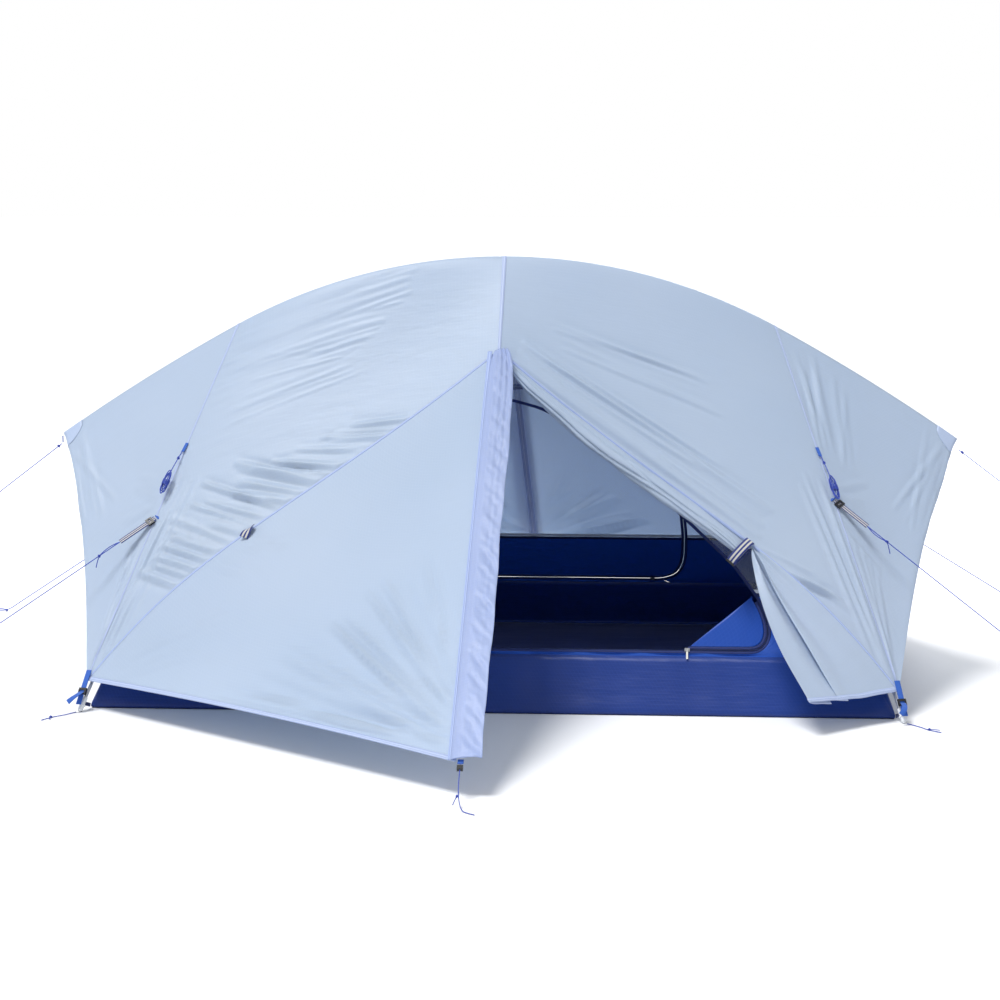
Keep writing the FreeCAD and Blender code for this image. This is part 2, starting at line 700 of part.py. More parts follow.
def strap_lock(label, where):
    """Ladder lock: a frame the strap runs through, with two bars above it."""
    w = "Sizes.lock_width"
    ln = "Sizes.lock_length"
    th = "Sizes.lock_thickness"
    body = block(label + "_frame", [w, ln, th, "-%s / 2" % w, "-%s / 2" % ln, "-%s / 2" % th])
    tunnel = block(label + "_tunnel", ["Sizes.strap_width + 0.8", ln + " + 2", "Sizes.strap_thickness + 0.8",
                                       "-Sizes.strap_width / 2 - 0.4", "-%s / 2 - 1" % ln,
                                       "-Sizes.strap_thickness / 2 - 0.4"])
    window = block(label + "_window", ["Sizes.strap_width - 1", ln + " / 3", "%s / 2 + 1" % th,
                                       "-Sizes.strap_width / 2 + 0.5", "-%s / 6" % ln, "0"])
    first = doc.addObject("Part::Cut", label + "_bored")
    first.Base = body
    first.Tool = tunnel
    done = doc.addObject("Part::Cut", label)
    done.Base = first
    done.Tool = window
    done.Placement = where
    return keep(done, label)


corner_straps = []
floor_straps = []
for name, sx, sy in QUARTERS:
    key = (sx, sy)
    out = unit(body_out[key] + end_out[key])
    down = unit(fly_foot[key] - fly_hub[sx])
    start = fly_foot[key] - down * 26 + out * 7
    goal = foot[key] + out * 16 - leg_way[key] * 6
    way = unit(goal - start)
    across = unit(way.cross(out))
    face = unit(across.cross(way))
    length = (goal - start).Length
    corner_straps.append(oriented_box(start, way, across, length, strap_w, strap_t))
    at = start + way * (length * 0.62)
    strap_lock("ladder_lock_%s" % name, placed(at, across, unit(face.cross(across)), face))
    a = Vector(sx * (floor_x - 3), sy * (floor_y - 3), 9)
    b = foot[key] - leg_way[key] * 18
    run = b - a
    floor_straps.append(oriented_box(a, run, Vector(0, 0, 1), run.Length - 11, 10, 1.2))
group("corner_straps", corner_straps)
group("floor_straps", floor_straps)

# Guy points on the leg seams: upper tab, lower striped strap with its adjuster.
guy_tabs = []
guy_straps = []
guylines = []
spare_cords = []
stake_cords = []
strap_run = 112.0
peg_out = 537.0             # guyline peg, beyond the pole foot along the ridge
peg_side = 34.0
upper_guy_share = 0.556     # guy points on the leg seam, as shares of the ridge's height
LOWER_GUY_SHARE = {"front_left": 0.402, "front_right": 0.452, "rear_left": 0.402, "rear_right": 0.402}
cord_r = size("cord_radius")
thin_r = size("thin_cord_radius")
# Loops tied at the cords' ends: each point is along and beside the cord, from its knot.
PEG_LOOP = ((40, 17), (82, 12), (84, -13), (42, -17), (8, -9))
RIDGE_LOOP = ((34, 15), (74, 11), (76, -12), (38, -15), (8, -9))


def seam_point(key, share):
    """Point on the fly's leg seam at that share of the ridge's height."""
    low_end, high_end = fly_foot[key], fly_hub[key[0]]
    return between(low_end, high_end, (share * apex_z - low_end.z) / (high_end.z - low_end.z))


for name, sx, sy in QUARTERS:
    key = (sx, sy)
    out = unit(body_out[key] + end_out[key])
    leg_down = unit(fly_foot[key] - fly_hub[sx])
    peg = Vector(sx * (half_length + peg_out), sy * (half_width + peg_side), 3.5)
    start = seam_point(key, LOWER_GUY_SHARE[name]) + out * 3
    way = unit(peg - start)
    across = unit(way.cross(out))
    face = unit(across.cross(way))
    guy_straps.append(oriented_box(start, way, across, strap_run, strap_w, strap_t))
    strap_lock("guy_adjuster_%s" % name, placed(start + way * 16, across, unit(face.cross(across)), face))
    # The guyline runs straight to its peg loop, which lies flat on the ground.
    cord_start = start + way * (strap_run + 0.4)
    bend = between(cord_start, peg, 0.93) + Vector(0, 0, 1)
    flat = unit(Vector(way.x, way.y, 0))
    side = unit(Vector(0, 0, 1).cross(flat))
    ground = Vector(peg.x, peg.y, 3.2)
    points = [cord_start, bend, ground]
    points += [ground + flat * a + side * b for a, b in PEG_LOOP]
    guylines.append(cord("guyline_" + name, points, cord_r))
    # The upper tab carries a spare cord that hangs against the fly.
    high = seam_point(key, upper_guy_share)
    guy_tabs.append(oriented_box(high + out * 2.2 - leg_down * 14, leg_down + out * 0.12,
                                 leg_down.cross(out), 30, 9, 1.2))
    hang = [high + out * a + leg_down * b for a, b in ((8, 17), (15, 52), (21, 96), (22, 138))]
    spare_cords.append(cord("spare_cord_" + name, hang, cord_r))
    # Peg cord from the foot, lying on the ground.
    away = unit(Vector(sx * 76, sy * 100, 0))
    turn = unit(Vector(0, 0, 1).cross(away))
    base = Vector(foot[key].x, foot[key].y, thin_r + 0.6)
    points = [base + away * a + turn * b for a, b in ((14, 0), (52, 5), (96, -3), (132, 6))]
    stake_cords.append(cord("foot_cord_" + name, points, thin_r))

for name, sx in SIDES:
    way = unit(Vector(sx, 0, -0.76))
    side = Vector(0, 1, 0)
    start = Vector(fly_tip[sx].x + sx * 5, 0, fly_tip[sx].z - 30)
    knot_at = start + way * 232
    points = [start, knot_at] + [knot_at + way * a + side * b for a, b in RIDGE_LOOP]
    guylines.append(cord("ridge_line_" + name, points, cord_r))
    guy_tabs.append(oriented_box(start - way * 3.0 + Vector(0, 0, 20), Vector(0, 0, -1),
                                 Vector(0, 1, 0), 19, 10, 1.2))

for name, sy in ENDS:
    across, up, out = door_frame(sy)
    top = fly_corner[sy] + Vector(0, sy * 7, -4)
    peg = Vector(across.x * 28, sy * (abs(fly_corner[sy].y) + 150), thin_r + 0.6)
    way = unit(Vector(0, peg.y, peg.z) - top)
    guy_tabs.append(oriented_box(top - way * 16, way, Vector(1, 0, 0), 14, 14, 1.2))
    straight_end = top + way * 86
    points = [top, straight_end, Vector(across.x * 10, peg.y - sy * 22, thin_r + 1.2), peg,
              peg + Vector(across.x * 16, sy * 12, 0)]
    stake_cords.append(cord("corner_cord_" + name, points, thin_r))
    lock = doc.addObject("Part::Box", "line_lock_%s_block" % name)
    lock.setExpression("Length", "14")
    lock.setExpression("Width", "12")
    lock.setExpression("Height", "9")
    lock.Placement = FreeCAD.Placement(Vector(-7, -6, -4.5), FreeCAD.Rotation())
    bore = rod("line_lock_%s_bore" % name, "Sizes.thin_cord_radius + 0.4", "20", (0, -10, 0), (0, 1, 0))
    done = doc.addObject("Part::Cut", "line_lock_%s" % name)
    done.Base = lock
    done.Tool = bore
    side = Vector(1, 0, 0)
    done.Placement = placed(top + way * 12, side, way, unit(side.cross(way)))
    keep(done, "line_lock_%s" % name)

group("guy_tabs", guy_tabs)
group("guy_straps", guy_straps)
group("guylines", guylines)
group("spare_cords", spare_cords)
group("stake_cords", stake_cords)

# ---------------------------------------------------------------- tie-backs
tie_r = roll_r * 0.42
tie_centre = between(peak, low_end, tie_share) + inwards * (tie_r + 6) - door_out * (tie_r * 0.35 + 3)
band = Part.makeCylinder(tie_r + 3.0, 24, tie_centre - seam * 12, seam)
band = band.cut(Part.makeCylinder(tie_r + 1.6, 30, tie_centre - seam * 15, seam))
bands = [band]
for sx, sy in ((-1, -1), (-1, 1), (1, 1)):
    a = between(fly_peak[sy], fly_foot[(sx, sy)], 0.615)
    n = outward(fly_peak[sy], fly_foot[(sx, sy)], fly_corner[sy], Vector(0, sy, 1))
    line = unit(fly_foot[(sx, sy)] - fly_peak[sy])
    down = unit(Vector(0, 0, -1) - n * n.dot(Vector(0, 0, -1)))
    bands.append(oriented_box(a + n * 4 + down * 14, down, line, 40, 24, 2.4))
group("tieback_bands", bands)
toggle_at = tie_centre + inwards * (tie_r + 8.5)
toggle = doc.addObject("Part::Cylinder", "tieback_toggle")
toggle.Radius = 3
toggle.Height = 26
toggle.Placement = FreeCAD.Placement(toggle_at - seam * 13, FreeCAD.Rotation(Vector(0, 0, 1), seam))
keep(toggle, "tieback_toggle")

# ---------------------------------------------------------------- check and export
doc.recompute()
bad = []
for obj in doc.Objects:
    if "Invalid" in obj.State or "Error" in obj.State:
        bad.append("%s state %s" % (obj.Name, obj.State))
for obj in nodes:
    shape = obj.Shape
    if shape.isNull() or not shape.isValid():
        bad.append("%s shape" % obj.Label)
        continue
    if not shape.Solids:
        bad.append("%s has no solid" % obj.Label)
    shape.exportStep("parts/%s.step" % obj.Label)
print("nodes", len(nodes))
if bad:
    raise RuntimeError("; ".join(bad))
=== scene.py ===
import math

import bmesh
import bpy
import numpy as np
from mathutils import Matrix, Vector


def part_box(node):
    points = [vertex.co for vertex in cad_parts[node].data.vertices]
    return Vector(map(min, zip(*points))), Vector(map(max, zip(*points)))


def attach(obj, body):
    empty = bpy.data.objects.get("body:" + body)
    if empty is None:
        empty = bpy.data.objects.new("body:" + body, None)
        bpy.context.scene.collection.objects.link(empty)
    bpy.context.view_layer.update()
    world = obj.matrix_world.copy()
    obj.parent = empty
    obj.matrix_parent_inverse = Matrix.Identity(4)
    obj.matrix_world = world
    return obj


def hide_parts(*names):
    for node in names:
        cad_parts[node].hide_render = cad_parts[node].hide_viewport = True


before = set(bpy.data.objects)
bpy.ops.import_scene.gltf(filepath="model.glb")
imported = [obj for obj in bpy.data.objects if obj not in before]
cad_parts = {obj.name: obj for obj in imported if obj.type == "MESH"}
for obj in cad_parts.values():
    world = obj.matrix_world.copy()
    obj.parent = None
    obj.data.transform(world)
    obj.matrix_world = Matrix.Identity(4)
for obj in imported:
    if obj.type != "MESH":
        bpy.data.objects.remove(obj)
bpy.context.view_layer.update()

# ------------------------------------------------------------------ stage, lights and camera
# A plain pale floor that runs out of sight, a wide soft light overhead, a broad one behind and a weak
# one from the front left, and a long lens at standing height in front of the open door.
scene = bpy.context.scene


def node(tree, kind, values=None, links=None, **settings):
    """Add a shader node: settings are its properties, values its plain sockets, links its fed ones."""
    made = tree.nodes.new("ShaderNode" + kind)
    for key, value in settings.items():
        setattr(made, key, value)
    for key, value in (values or {}).items():
        made.inputs[key].default_value = value
    for key, source in (links or {}).items():
        tree.links.new(source, made.inputs[key])
    return made


def material(name):
    """Empty node material and its output node."""
    made = bpy.data.materials.new(name)
    made.use_nodes = True
    made.node_tree.nodes.clear()
    return made, made.node_tree, made.node_tree.nodes.new("ShaderNodeOutputMaterial")


FLOOR_SIZE = 60.0
floor_mesh = bpy.data.meshes.new("stage_floor")
half = FLOOR_SIZE / 2
floor_corners = [(-half, -half, 0), (half, -half, 0), (half, half, 0), (-half, half, 0)]
floor_mesh.from_pydata(floor_corners, [], [(0, 1, 2, 3)])
stage_floor = bpy.data.objects.new("stage_floor", floor_mesh)
scene.collection.objects.link(stage_floor)
paper, tree, out = material("stage_paper")
grain = node(tree, "TexNoise", {"Scale": 3.0, "Detail": 2.0})
tone = node(tree, "ValToRGB", links={"Fac": grain.outputs["Fac"]})
tone.color_ramp.elements[0].color = (0.86, 0.865, 0.875, 1)
tone.color_ramp.elements[1].color = (0.89, 0.89, 0.895, 1)
shade = node(tree, "BsdfPrincipled", {"Roughness": 0.9, "Specular IOR Level": 0.1},
             {"Base Color": tone.outputs["Color"]})
tree.links.new(shade.outputs[0], out.inputs["Surface"])
floor_mesh.materials.append(paper)

world = bpy.data.worlds.new("studio")
world.use_nodes = True
sky = world.node_tree
sky.nodes.clear()
seen = node(sky, "Background", {"Color": (1.0, 1.0, 1.0, 1), "Strength": 1.0})
lighting = node(sky, "Background", {"Color": (0.95, 0.97, 1.0, 1), "Strength": 0.56})
path = node(sky, "LightPath")
backdrop = node(sky, "MixShader", links={0: path.outputs["Is Camera Ray"], 1: lighting.outputs[0],
                                         2: seen.outputs[0]})
sky_end = sky.nodes.new("ShaderNodeOutputWorld")
sky.links.new(backdrop.outputs[0], sky_end.inputs["Surface"])
scene.world = world
scene.view_settings.view_transform = "Standard"


def lamp_object(name, kind, place, target, power, tint, **settings):
    """Lamp of one kind, aimed from its place at a target."""
    lamp = bpy.data.lights.new(name, kind)
    lamp.energy = power
    lamp.color = tint
    for key, value in settings.items():
        setattr(lamp, key, value)
    made = bpy.data.objects.new(name, lamp)
    aim = Vector(target) - Vector(place)
    made.matrix_world = Matrix.Translation(place) @ aim.to_track_quat("-Z", "Y").to_matrix().to_4x4()
    scene.collection.objects.link(made)


lamp_object("overhead_light", "SUN", (-1.5, -0.6, 4.6), (0, 0, 0), 2.8, (1.0, 0.995, 0.985),
            angle=math.radians(22))
lamp_object("back_light", "AREA", (0.8, 4.6, 2.6), (0.2, 0.3, 0.5), 150.0, (1.0, 1.0, 1.0),
            shape="RECTANGLE", size=3.0, size_y=2.2)
lamp_object("front_light", "AREA", (-3.8, -5.0, 2.4), (0, 0, 0.5), 14.0, (0.98, 0.99, 1.0),
            shape="RECTANGLE", size=2.6, size_y=2.0)

YAW, PITCH, ROLL = -0.072, -0.146, -0.002
EYE, LENS = (0.512, -7.300, 1.539), 96.35
forward = Vector((math.sin(YAW) * math.cos(PITCH), math.cos(YAW) * math.cos(PITCH), math.sin(PITCH)))
level = Vector((math.cos(YAW), -math.sin(YAW), 0))
above = level.cross(forward)
tilt_x = level * math.cos(ROLL) + above * math.sin(ROLL)
camera_data = bpy.data.cameras.new("camera")
camera_data.lens = LENS
camera_data.sensor_width = 36.0
camera = bpy.data.objects.new("camera", camera_data)
turn = Matrix((tilt_x, tilt_x.cross(forward), -forward)).transposed().to_4x4()
camera.matrix_world = Matrix.Translation(EYE) @ turn
scene.collection.objects.link(camera)
scene.camera = camera

# ------------------------------------------------------------------ fly canopy
# The fly is one outer roof of thin coated nylon, sewn from panels that meet over the ridge pole, down
# the leg poles and along the door seams. It is cut a little hollow, so it pulls tight between them.
feet_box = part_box("pole_foot_tips")
TIP_RADIUS, POLE_RADIUS = 0.0065, 0.00425
half_length = feet_box[1][0] - TIP_RADIUS
half_width = feet_box[1][1] - TIP_RADIUS
ridge_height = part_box("ridge_pole_centre")[1][2] - POLE_RADIUS
HUB_SPAN, HUB_RISE = 0.6870, 0.8329
TIP_SPAN, TIP_RISE = 1.1579, 0.5612
hub = np.array([HUB_SPAN * half_length, 0, HUB_RISE * ridge_height])
tip = np.array([TIP_SPAN * half_length, 0, TIP_RISE * ridge_height])
fly_apex = np.array([0, 0, ridge_height + 0.016])
fly_hub = hub + (0.014, 0, 0.016)
fly_tip = tip + (0.016, 0, 0.014)
fly_ground = np.array([half_length + 0.016, half_width + 0.0165, 0])
HEM_HEIGHT = 0.075
fly_foot = fly_ground + (fly_hub - fly_ground) * HEM_HEIGHT / fly_hub[2]
fly_peak = np.array([0, 0.3338 * half_width, 0.8025 * ridge_height])
fly_corner = np.array([0, half_width + 0.791, 0.080])
LEFT, RIGHT, FRONT, REAR = -1, 1, -1, 1
rng = np.random.default_rng(11)


def mirrored(points, sx, sy):
    """Points of the right rear quarter, moved to another quarter."""
    return points * np.array([sx, sy, 1.0])


def unit(v):
    """Vectors of length one."""
    return v / np.maximum(np.linalg.norm(v, axis=-1, keepdims=True), 1e-12)


def line(a, b, count):
    """Evenly spaced points from a to b."""
    return a + (b - a) * np.linspace(0, 1, count)[:, None]


def coons(top, bottom, left, right):
    """Coons patch: the two surfaces ruled between opposite edges, added, less the corners' own."""
    s = np.linspace(0, 1, len(top))[None, :, None]
    t = np.linspace(0, 1, len(left))[:, None, None]
    ruled = (1 - t) * top[None] + t * bottom[None] + (1 - s) * left[:, None] + s * right[:, None]
    flat = (1 - t) * ((1 - s) * top[0] + s * top[-1]) + t * ((1 - s) * bottom[0] + s * bottom[-1])
    return ruled - flat


def normals(grid, guide):
    """Unit normals of a point grid, from the cross product of its two ways, on the guide's side."""
    n = unit(np.cross(np.gradient(grid, axis=1), np.gradient(grid, axis=0)))
    mean = n.sum((0, 1))
    return n if mean @ np.asarray(guide, float) > 0 else -n


def pick(grid, s, t):
    """Point of a grid at shares s across its columns and t down its rows."""
    rows, cols = grid.shape[:2]
    j, i = s * (cols - 1), t * (rows - 1)
    j0, i0 = int(min(j, cols - 2)), int(min(i, rows - 2))
    a, b = j - j0, i - i0
    upper = grid[i0, j0] * (1 - a) + grid[i0, j0 + 1] * a
    lower = grid[i0 + 1, j0] * (1 - a) + grid[i0 + 1, j0 + 1] * a
    return upper * (1 - b) + lower * b


def fold_height(grid, ends, width, height):
    """Height of soft folds over a grid, for shares (s0, t0, s1, t1) of each fold's two ends.

    Across a fold it is h·(1 − (d/w)²)·exp(−(d/w)²/1.6), a rib with a shallow dip on each side, and along
    it the height fades as the root of the sine of the share."""
    total = np.zeros(grid.shape[:2])
    for s0, t0, s1, t1 in ends:
        a, b = pick(grid, s0, t0), pick(grid, s1, t1)
        way = b - a
        share = np.clip((grid - a) @ way / (way @ way), 0, 1)
        far = np.linalg.norm(grid - a - share[..., None] * way, axis=-1) / (width * rng.uniform(0.75, 1.3))
        rib = (1 - far ** 2) * np.exp(-far ** 2 / 1.6)
        total += 2.0 * height * rng.uniform(0.5, 1.15) * rib * np.sqrt(np.sin(np.pi * share).clip(0))
    return total


def family(count, start_a, start_b, end_a, end_b, scatter=0.02):
    """Fold ends spread evenly between a first and a last fold, each shifted a little at random."""
    share = (np.arange(count) + 0.5) / count
    starts = np.outer(1 - share, start_a) + np.outer(share, start_b)
    ends = np.outer(1 - share, end_a) + np.outer(share, end_b)
    both = np.hstack([starts, ends]) + rng.normal(0, scatter, (count, 4))
    return np.clip(both, 0, 1)


def edge_fade(grid, rows=(0.03, 0.03), cols=(0.03, 0.03)):
    """Mask that falls to zero at a grid's four edges, over the shares given for each pair."""
    t = np.linspace(0, 1, grid.shape[0])[:, None]
    s = np.linspace(0, 1, grid.shape[1])[None, :]
    ramp = [t / rows[0], (1 - t) / rows[1], s / cols[0], (1 - s) / cols[1]]
    mask = np.ones(grid.shape[:2])
    for r in ramp:
        r = np.clip(r, 0, 1)
        mask = mask * r * r * (3 - 2 * r)
    return mask


def facing(grid, centre):
    """Grid with its columns reversed where needed, so that its faces turn away from the centre."""
    n = np.cross(grid[:-1, 1:] - grid[:-1, :-1], grid[1:, :-1] - grid[:-1, :-1]).sum((0, 1))
    return grid if n @ (grid.mean((0, 1)) - centre) > 0 else grid[:, ::-1]


def grid_object(name, grids, finish, thickness=0.0, weld=0.0004):
    """One smooth mesh from point grids: a quad per cell, shared edges welded, and a UV map whose two
    numbers are the distances in metres along the rows and down the columns."""
    points, quads, uvs = [], [], []
    start = 0
    for grid in grids:
        rows, cols = grid.shape[:2]
        index = np.arange(rows * cols).reshape(rows, cols) + start
        cell = np.stack([index[:-1, :-1], index[:-1, 1:], index[1:, 1:], index[1:, :-1]], -1)
        across = np.zeros((rows, cols))
        across[:, 1:] = np.cumsum(np.linalg.norm(np.diff(grid, axis=1), axis=-1), axis=1)
        down = np.zeros((rows, cols))
        down[1:] = np.cumsum(np.linalg.norm(np.diff(grid, axis=0), axis=-1), axis=0)
        points.append(grid.reshape(-1, 3))
        uvs.append(np.stack([across, down], -1).reshape(-1, 2))
        quads.append(cell.reshape(-1, 4))
        start += rows * cols
    points, quads, uvs = np.vstack(points), np.vstack(quads), np.vstack(uvs)
    mesh = bpy.data.meshes.new(name)
    mesh.vertices.add(len(points))
    mesh.vertices.foreach_set("co", points.astype(np.float32).ravel())
    mesh.loops.add(quads.size)
    mesh.loops.foreach_set("vertex_index", quads.astype(np.int32).ravel())
    mesh.polygons.add(len(quads))
    mesh.polygons.foreach_set("loop_start", np.arange(0, quads.size, 4, dtype=np.int32))
    mesh.update(calc_edges=True)
    layer = mesh.uv_layers.new(name="cloth")
    layer.data.foreach_set("uv", uvs[quads.ravel()].astype(np.float32).ravel())
    if weld:
        work = bmesh.new()
        work.from_mesh(mesh)
        bmesh.ops.remove_doubles(work, verts=work.verts, dist=weld)
        work.to_mesh(mesh)
        work.free()
    mesh.validate()
    mesh.shade_smooth()
    mesh.materials.append(finish)
    made = bpy.data.objects.new(name, mesh)
    scene.collection.objects.link(made)
    if thickness:
        wall = made.modifiers.new("thickness", "SOLIDIFY")
        wall.thickness = thickness
        wall.offset = -1
    return made


def weave_group():
    """Shader group for ripstop cloth: a raised thread every few millimetres both ways, and slow wrinkles.
    Height is in metres; Threads is 1 on a raised thread."""
    group = bpy.data.node_groups.new("ripstop", "ShaderNodeTree")
    group.interface.new_socket("Pitch", in_out="INPUT", socket_type="NodeSocketFloat").default_value = 0.005
    group.interface.new_socket("Crinkle", in_out="INPUT",
                               socket_type="NodeSocketFloat").default_value = 0.0008
    group.interface.new_socket("Height", in_out="OUTPUT", socket_type="NodeSocketFloat")
    group.interface.new_socket("Threads", in_out="OUTPUT", socket_type="NodeSocketFloat")
    group.interface.new_socket("Cloud", in_out="OUTPUT", socket_type="NodeSocketFloat")
    start = group.nodes.new("NodeGroupInput")
    end = group.nodes.new("NodeGroupOutput")
    uv = node(group, "UVMap", uv_map="cloth")
    split = node(group, "SeparateXYZ", links={"Vector": uv.outputs[0]})
    lines = []
    for way in ("X", "Y"):
        cells = node(group, "Math", links={0: split.outputs[way], 1: start.outputs["Pitch"]},
                     operation="DIVIDE")
        inside = node(group, "Math", {1: 1.0}, {0: cells.outputs[0]}, operation="PINGPONG")
        thin = node(group, "Math", {1: 0.86}, {0: inside.outputs[0]}, operation="GREATER_THAN")
        lines.append(thin.outputs[0])
    grid_lines = node(group, "Math", links={0: lines[0], 1: lines[1]}, operation="MAXIMUM")
    stretch = node(group, "Mapping", {"Scale": (6.0, 22.0, 1.0)}, {"Vector": uv.outputs[0]})
    crease = node(group, "TexNoise", {"Scale": 1.0, "Detail": 3.0, "Roughness": 0.55},
                  {"Vector": stretch.outputs[0]})
    place = node(group, "TexCoord")
    cloud = node(group, "TexNoise", {"Scale": 1.7, "Detail": 2.0}, {"Vector": place.outputs["Object"]})
    crinkle = node(group, "Math", links={0: crease.outputs["Fac"], 1: start.outputs["Crinkle"]},
                   operation="MULTIPLY")
    raised = node(group, "Math", {1: 0.00006, 2: 0.0}, {0: grid_lines.outputs[0]}, operation="MULTIPLY_ADD")
    height = node(group, "Math", links={0: crinkle.outputs[0], 1: raised.outputs[0]}, operation="ADD")
    group.links.new(height.outputs[0], end.inputs["Height"])
    group.links.new(grid_lines.outputs[0], end.inputs["Threads"])
    group.links.new(cloud.outputs["Fac"], end.inputs["Cloud"])
    return group


ripstop = weave_group()


def ripstop_cloth(name, light, deep, thread, see_through, rough=0.42, crinkle=0.0022, pitch=0.005, coat=0.0):
    """Coated ripstop nylon: two tones of its colour in soft clouds, paler raised threads, and some of
    the light let through to the other side."""
    made, tree, out = material(name)
    weave = node(tree, "Group", node_tree=ripstop)
    weave.inputs["Pitch"].default_value = pitch
    weave.inputs["Crinkle"].default_value = crinkle
    tones = node(tree, "ValToRGB", links={"Fac": weave.outputs["Cloud"]})
    tones.color_ramp.elements[0].position = 0.35
    tones.color_ramp.elements[0].color = (*deep, 1)
    tones.color_ramp.elements[1].position = 0.65
    tones.color_ramp.elements[1].color = (*light, 1)
    part = node(tree, "Math", {1: 0.35}, {0: weave.outputs["Threads"]}, operation="MULTIPLY")
    colour = node(tree, "Mix", {"B": (*thread, 1)}, {"Factor": part.outputs[0], "A": tones.outputs["Color"]},
                  data_type="RGBA")
    bump = node(tree, "Bump", {"Strength": 0.8, "Distance": 1.0}, {"Height": weave.outputs["Height"]})
    shell = node(tree, "BsdfPrincipled", {"Roughness": rough, "Sheen Weight": 0.15, "Coat Weight": coat,
                                          "Specular IOR Level": 0.4},
                 {"Base Color": colour.outputs["Result"], "Normal": bump.outputs[0]})
    if see_through:
        glow = node(tree, "BsdfTranslucent", links={"Color": colour.outputs["Result"]})
        both = node(tree, "MixShader", {"Fac": see_through}, {1: shell.outputs[0], 2: glow.outputs[0]})
        tree.links.new(both.outputs[0], out.inputs["Surface"])
    else:
        tree.links.new(shell.outputs[0], out.inputs["Surface"])
    return made


fly_cloth = ripstop_cloth("fly_nylon", (0.61, 0.71, 0.845), (0.57, 0.68, 0.825), (0.64, 0.735, 0.86), 0.42)
FLY_GAUGE = 0.0006


def ridge_line(x):
    """Fly over the ridge pole: the circle through both hubs and the apex, z = top − R + √(R² − x²)."""
    rise = fly_apex[2] - fly_hub[2]
    radius = (fly_hub[0] ** 2 + rise ** 2) / (2 * rise)
    return np.stack([x, np.zeros_like(x), fly_apex[2] - radius + np.sqrt(radius ** 2 - x ** 2)], -1)


def door_seam(count):
    """Seam between roof and door, peak to foot: its straight line bowed up by a·sin(πs²)."""
    s = np.linspace(0, 1, count)
    way = unit(fly_foot - fly_peak)
    out = unit(np.cross(fly_foot - fly_peak, fly_hub - fly_peak))
    out = out if out[2] > 0 else -out
    up = unit(np.cross(way, out))
    up = up if up @ (fly_hub - fly_peak) > 0 else -up
    bow = 0.046 * np.sin(np.pi * s ** 2)
    return line(fly_peak, fly_foot, count) + bow[:, None] * (0.86 * up + 0.5 * out)


ROWS, COLS = 170, 190
s_share = np.linspace(0, 1, COLS)[None, :]
t_share = np.linspace(0, 1, ROWS)[:, None]


def roof_quarter():
    """Roof panel of the right rear quarter: ridge arch, leg seam, door seam and centre seam, rounded
    over the ridge pole and hollowed by a few millimetres in the middle."""
    top = ridge_line(np.linspace(0, fly_hub[0], COLS))
    left = line(fly_apex, fly_peak, ROWS)
    left[:, 2] -= 0.006 * np.sin(np.pi * t_share[:, 0])
    grid = coons(top, door_seam(COLS), left, line(fly_hub, fly_foot, ROWS))
    away = np.abs(grid[..., 1])
    slope = -(grid[2, :, 2] - grid[0, :, 2]) / np.maximum(away[2] - away[0], 1e-6)
    pole = 0.014
    lift = slope[None] * (pole - (np.hypot(away, pole) - away)) * (1 - t_share) * (1 - s_share ** 6)
    grid[..., 2] += lift
    hollow = 0.016 * np.sin(np.pi * s_share) * np.sin(np.pi * t_share)
    return grid - normals(grid, (0, 1, 1)) * hollow[..., None]


def level_folds(count, low, high, long, thick):
    """Folds that run level from the door seam towards the leg seam, as the cloth's pull across does."""
    seam_share = np.linspace(low, high, count) + rng.normal(0, 0.008, count)
    run = long * rng.uniform(0.6, 1.1, count)
    reach = np.clip(seam_share + run, 0, 0.97)
    return np.stack([seam_share, np.full(count, 0.995), reach, 0.995 - 1.25 * (reach - seam_share)],
                    -1), thick


def roof_folds():
    """Every roof quarter's shared folds and its own: (ends, width, height) of each family."""
    upper, upper_thick = level_folds(10, 0.22, 0.42, 0.22, 0.0026)
    middle, middle_thick = level_folds(21, 0.38, 0.76, 0.30, 0.0040)
    return [(upper, 0.0085, upper_thick), (middle, 0.0090, middle_thick),
            (family(12, (0.99, 0.03), (0.99, 0.24), (0.30, 0.06), (0.45, 0.40)), 0.0080, 0.0017),
            (family(10, (0.90, 0.16), (0.85, 0.42), (0.50, 0.24), (0.45, 0.52)), 0.0065, 0.0009),
            (family(5, (0.985, 0.99), (0.93, 0.99), (0.97, 0.45), (0.88, 0.55)), 0.0090, 0.0020)]


ROOF_FOLDS = {
    (LEFT, FRONT): roof_folds(),
    (RIGHT, FRONT): [
        (family(6, (0.04, 0.985), (0.07, 0.74), (0.64, 0.95), (0.72, 0.76), 0.008), 0.0125, 0.0062),
        (family(5, (0.10, 0.93), (0.10, 0.70), (0.45, 0.90), (0.60, 0.72), 0.02), 0.0070, 0.0022),
        (family(7, (0.16, 0.45), (0.18, 0.62), (0.62, 0.34), (0.66, 0.52)), 0.0085, 0.0020),
        (family(8, (0.66, 0.995), (0.74, 0.995), (0.80, 0.90), (0.93, 0.90)), 0.0075, 0.0026),
        (family(5, (0.985, 0.99), (0.93, 0.99), (0.97, 0.45), (0.88, 0.55)), 0.0090, 0.0020)],
    (LEFT, REAR): roof_folds(),
    (RIGHT, REAR): roof_folds(),
}
centre_of_tent = np.array([0, 0, 0.3])
roof = {}
for (sx, sy), sets in ROOF_FOLDS.items():
    grid = mirrored(roof_quarter(), sx, sy)
    height = sum(fold_height(grid, ends, width, tall) for ends, width, tall in sets)
    height = height * edge_fade(grid, (0.05, 0.015), (0.03, 0.012))
    roof[sx, sy] = grid + normals(grid, (0, sy, 1)) * height[..., None]


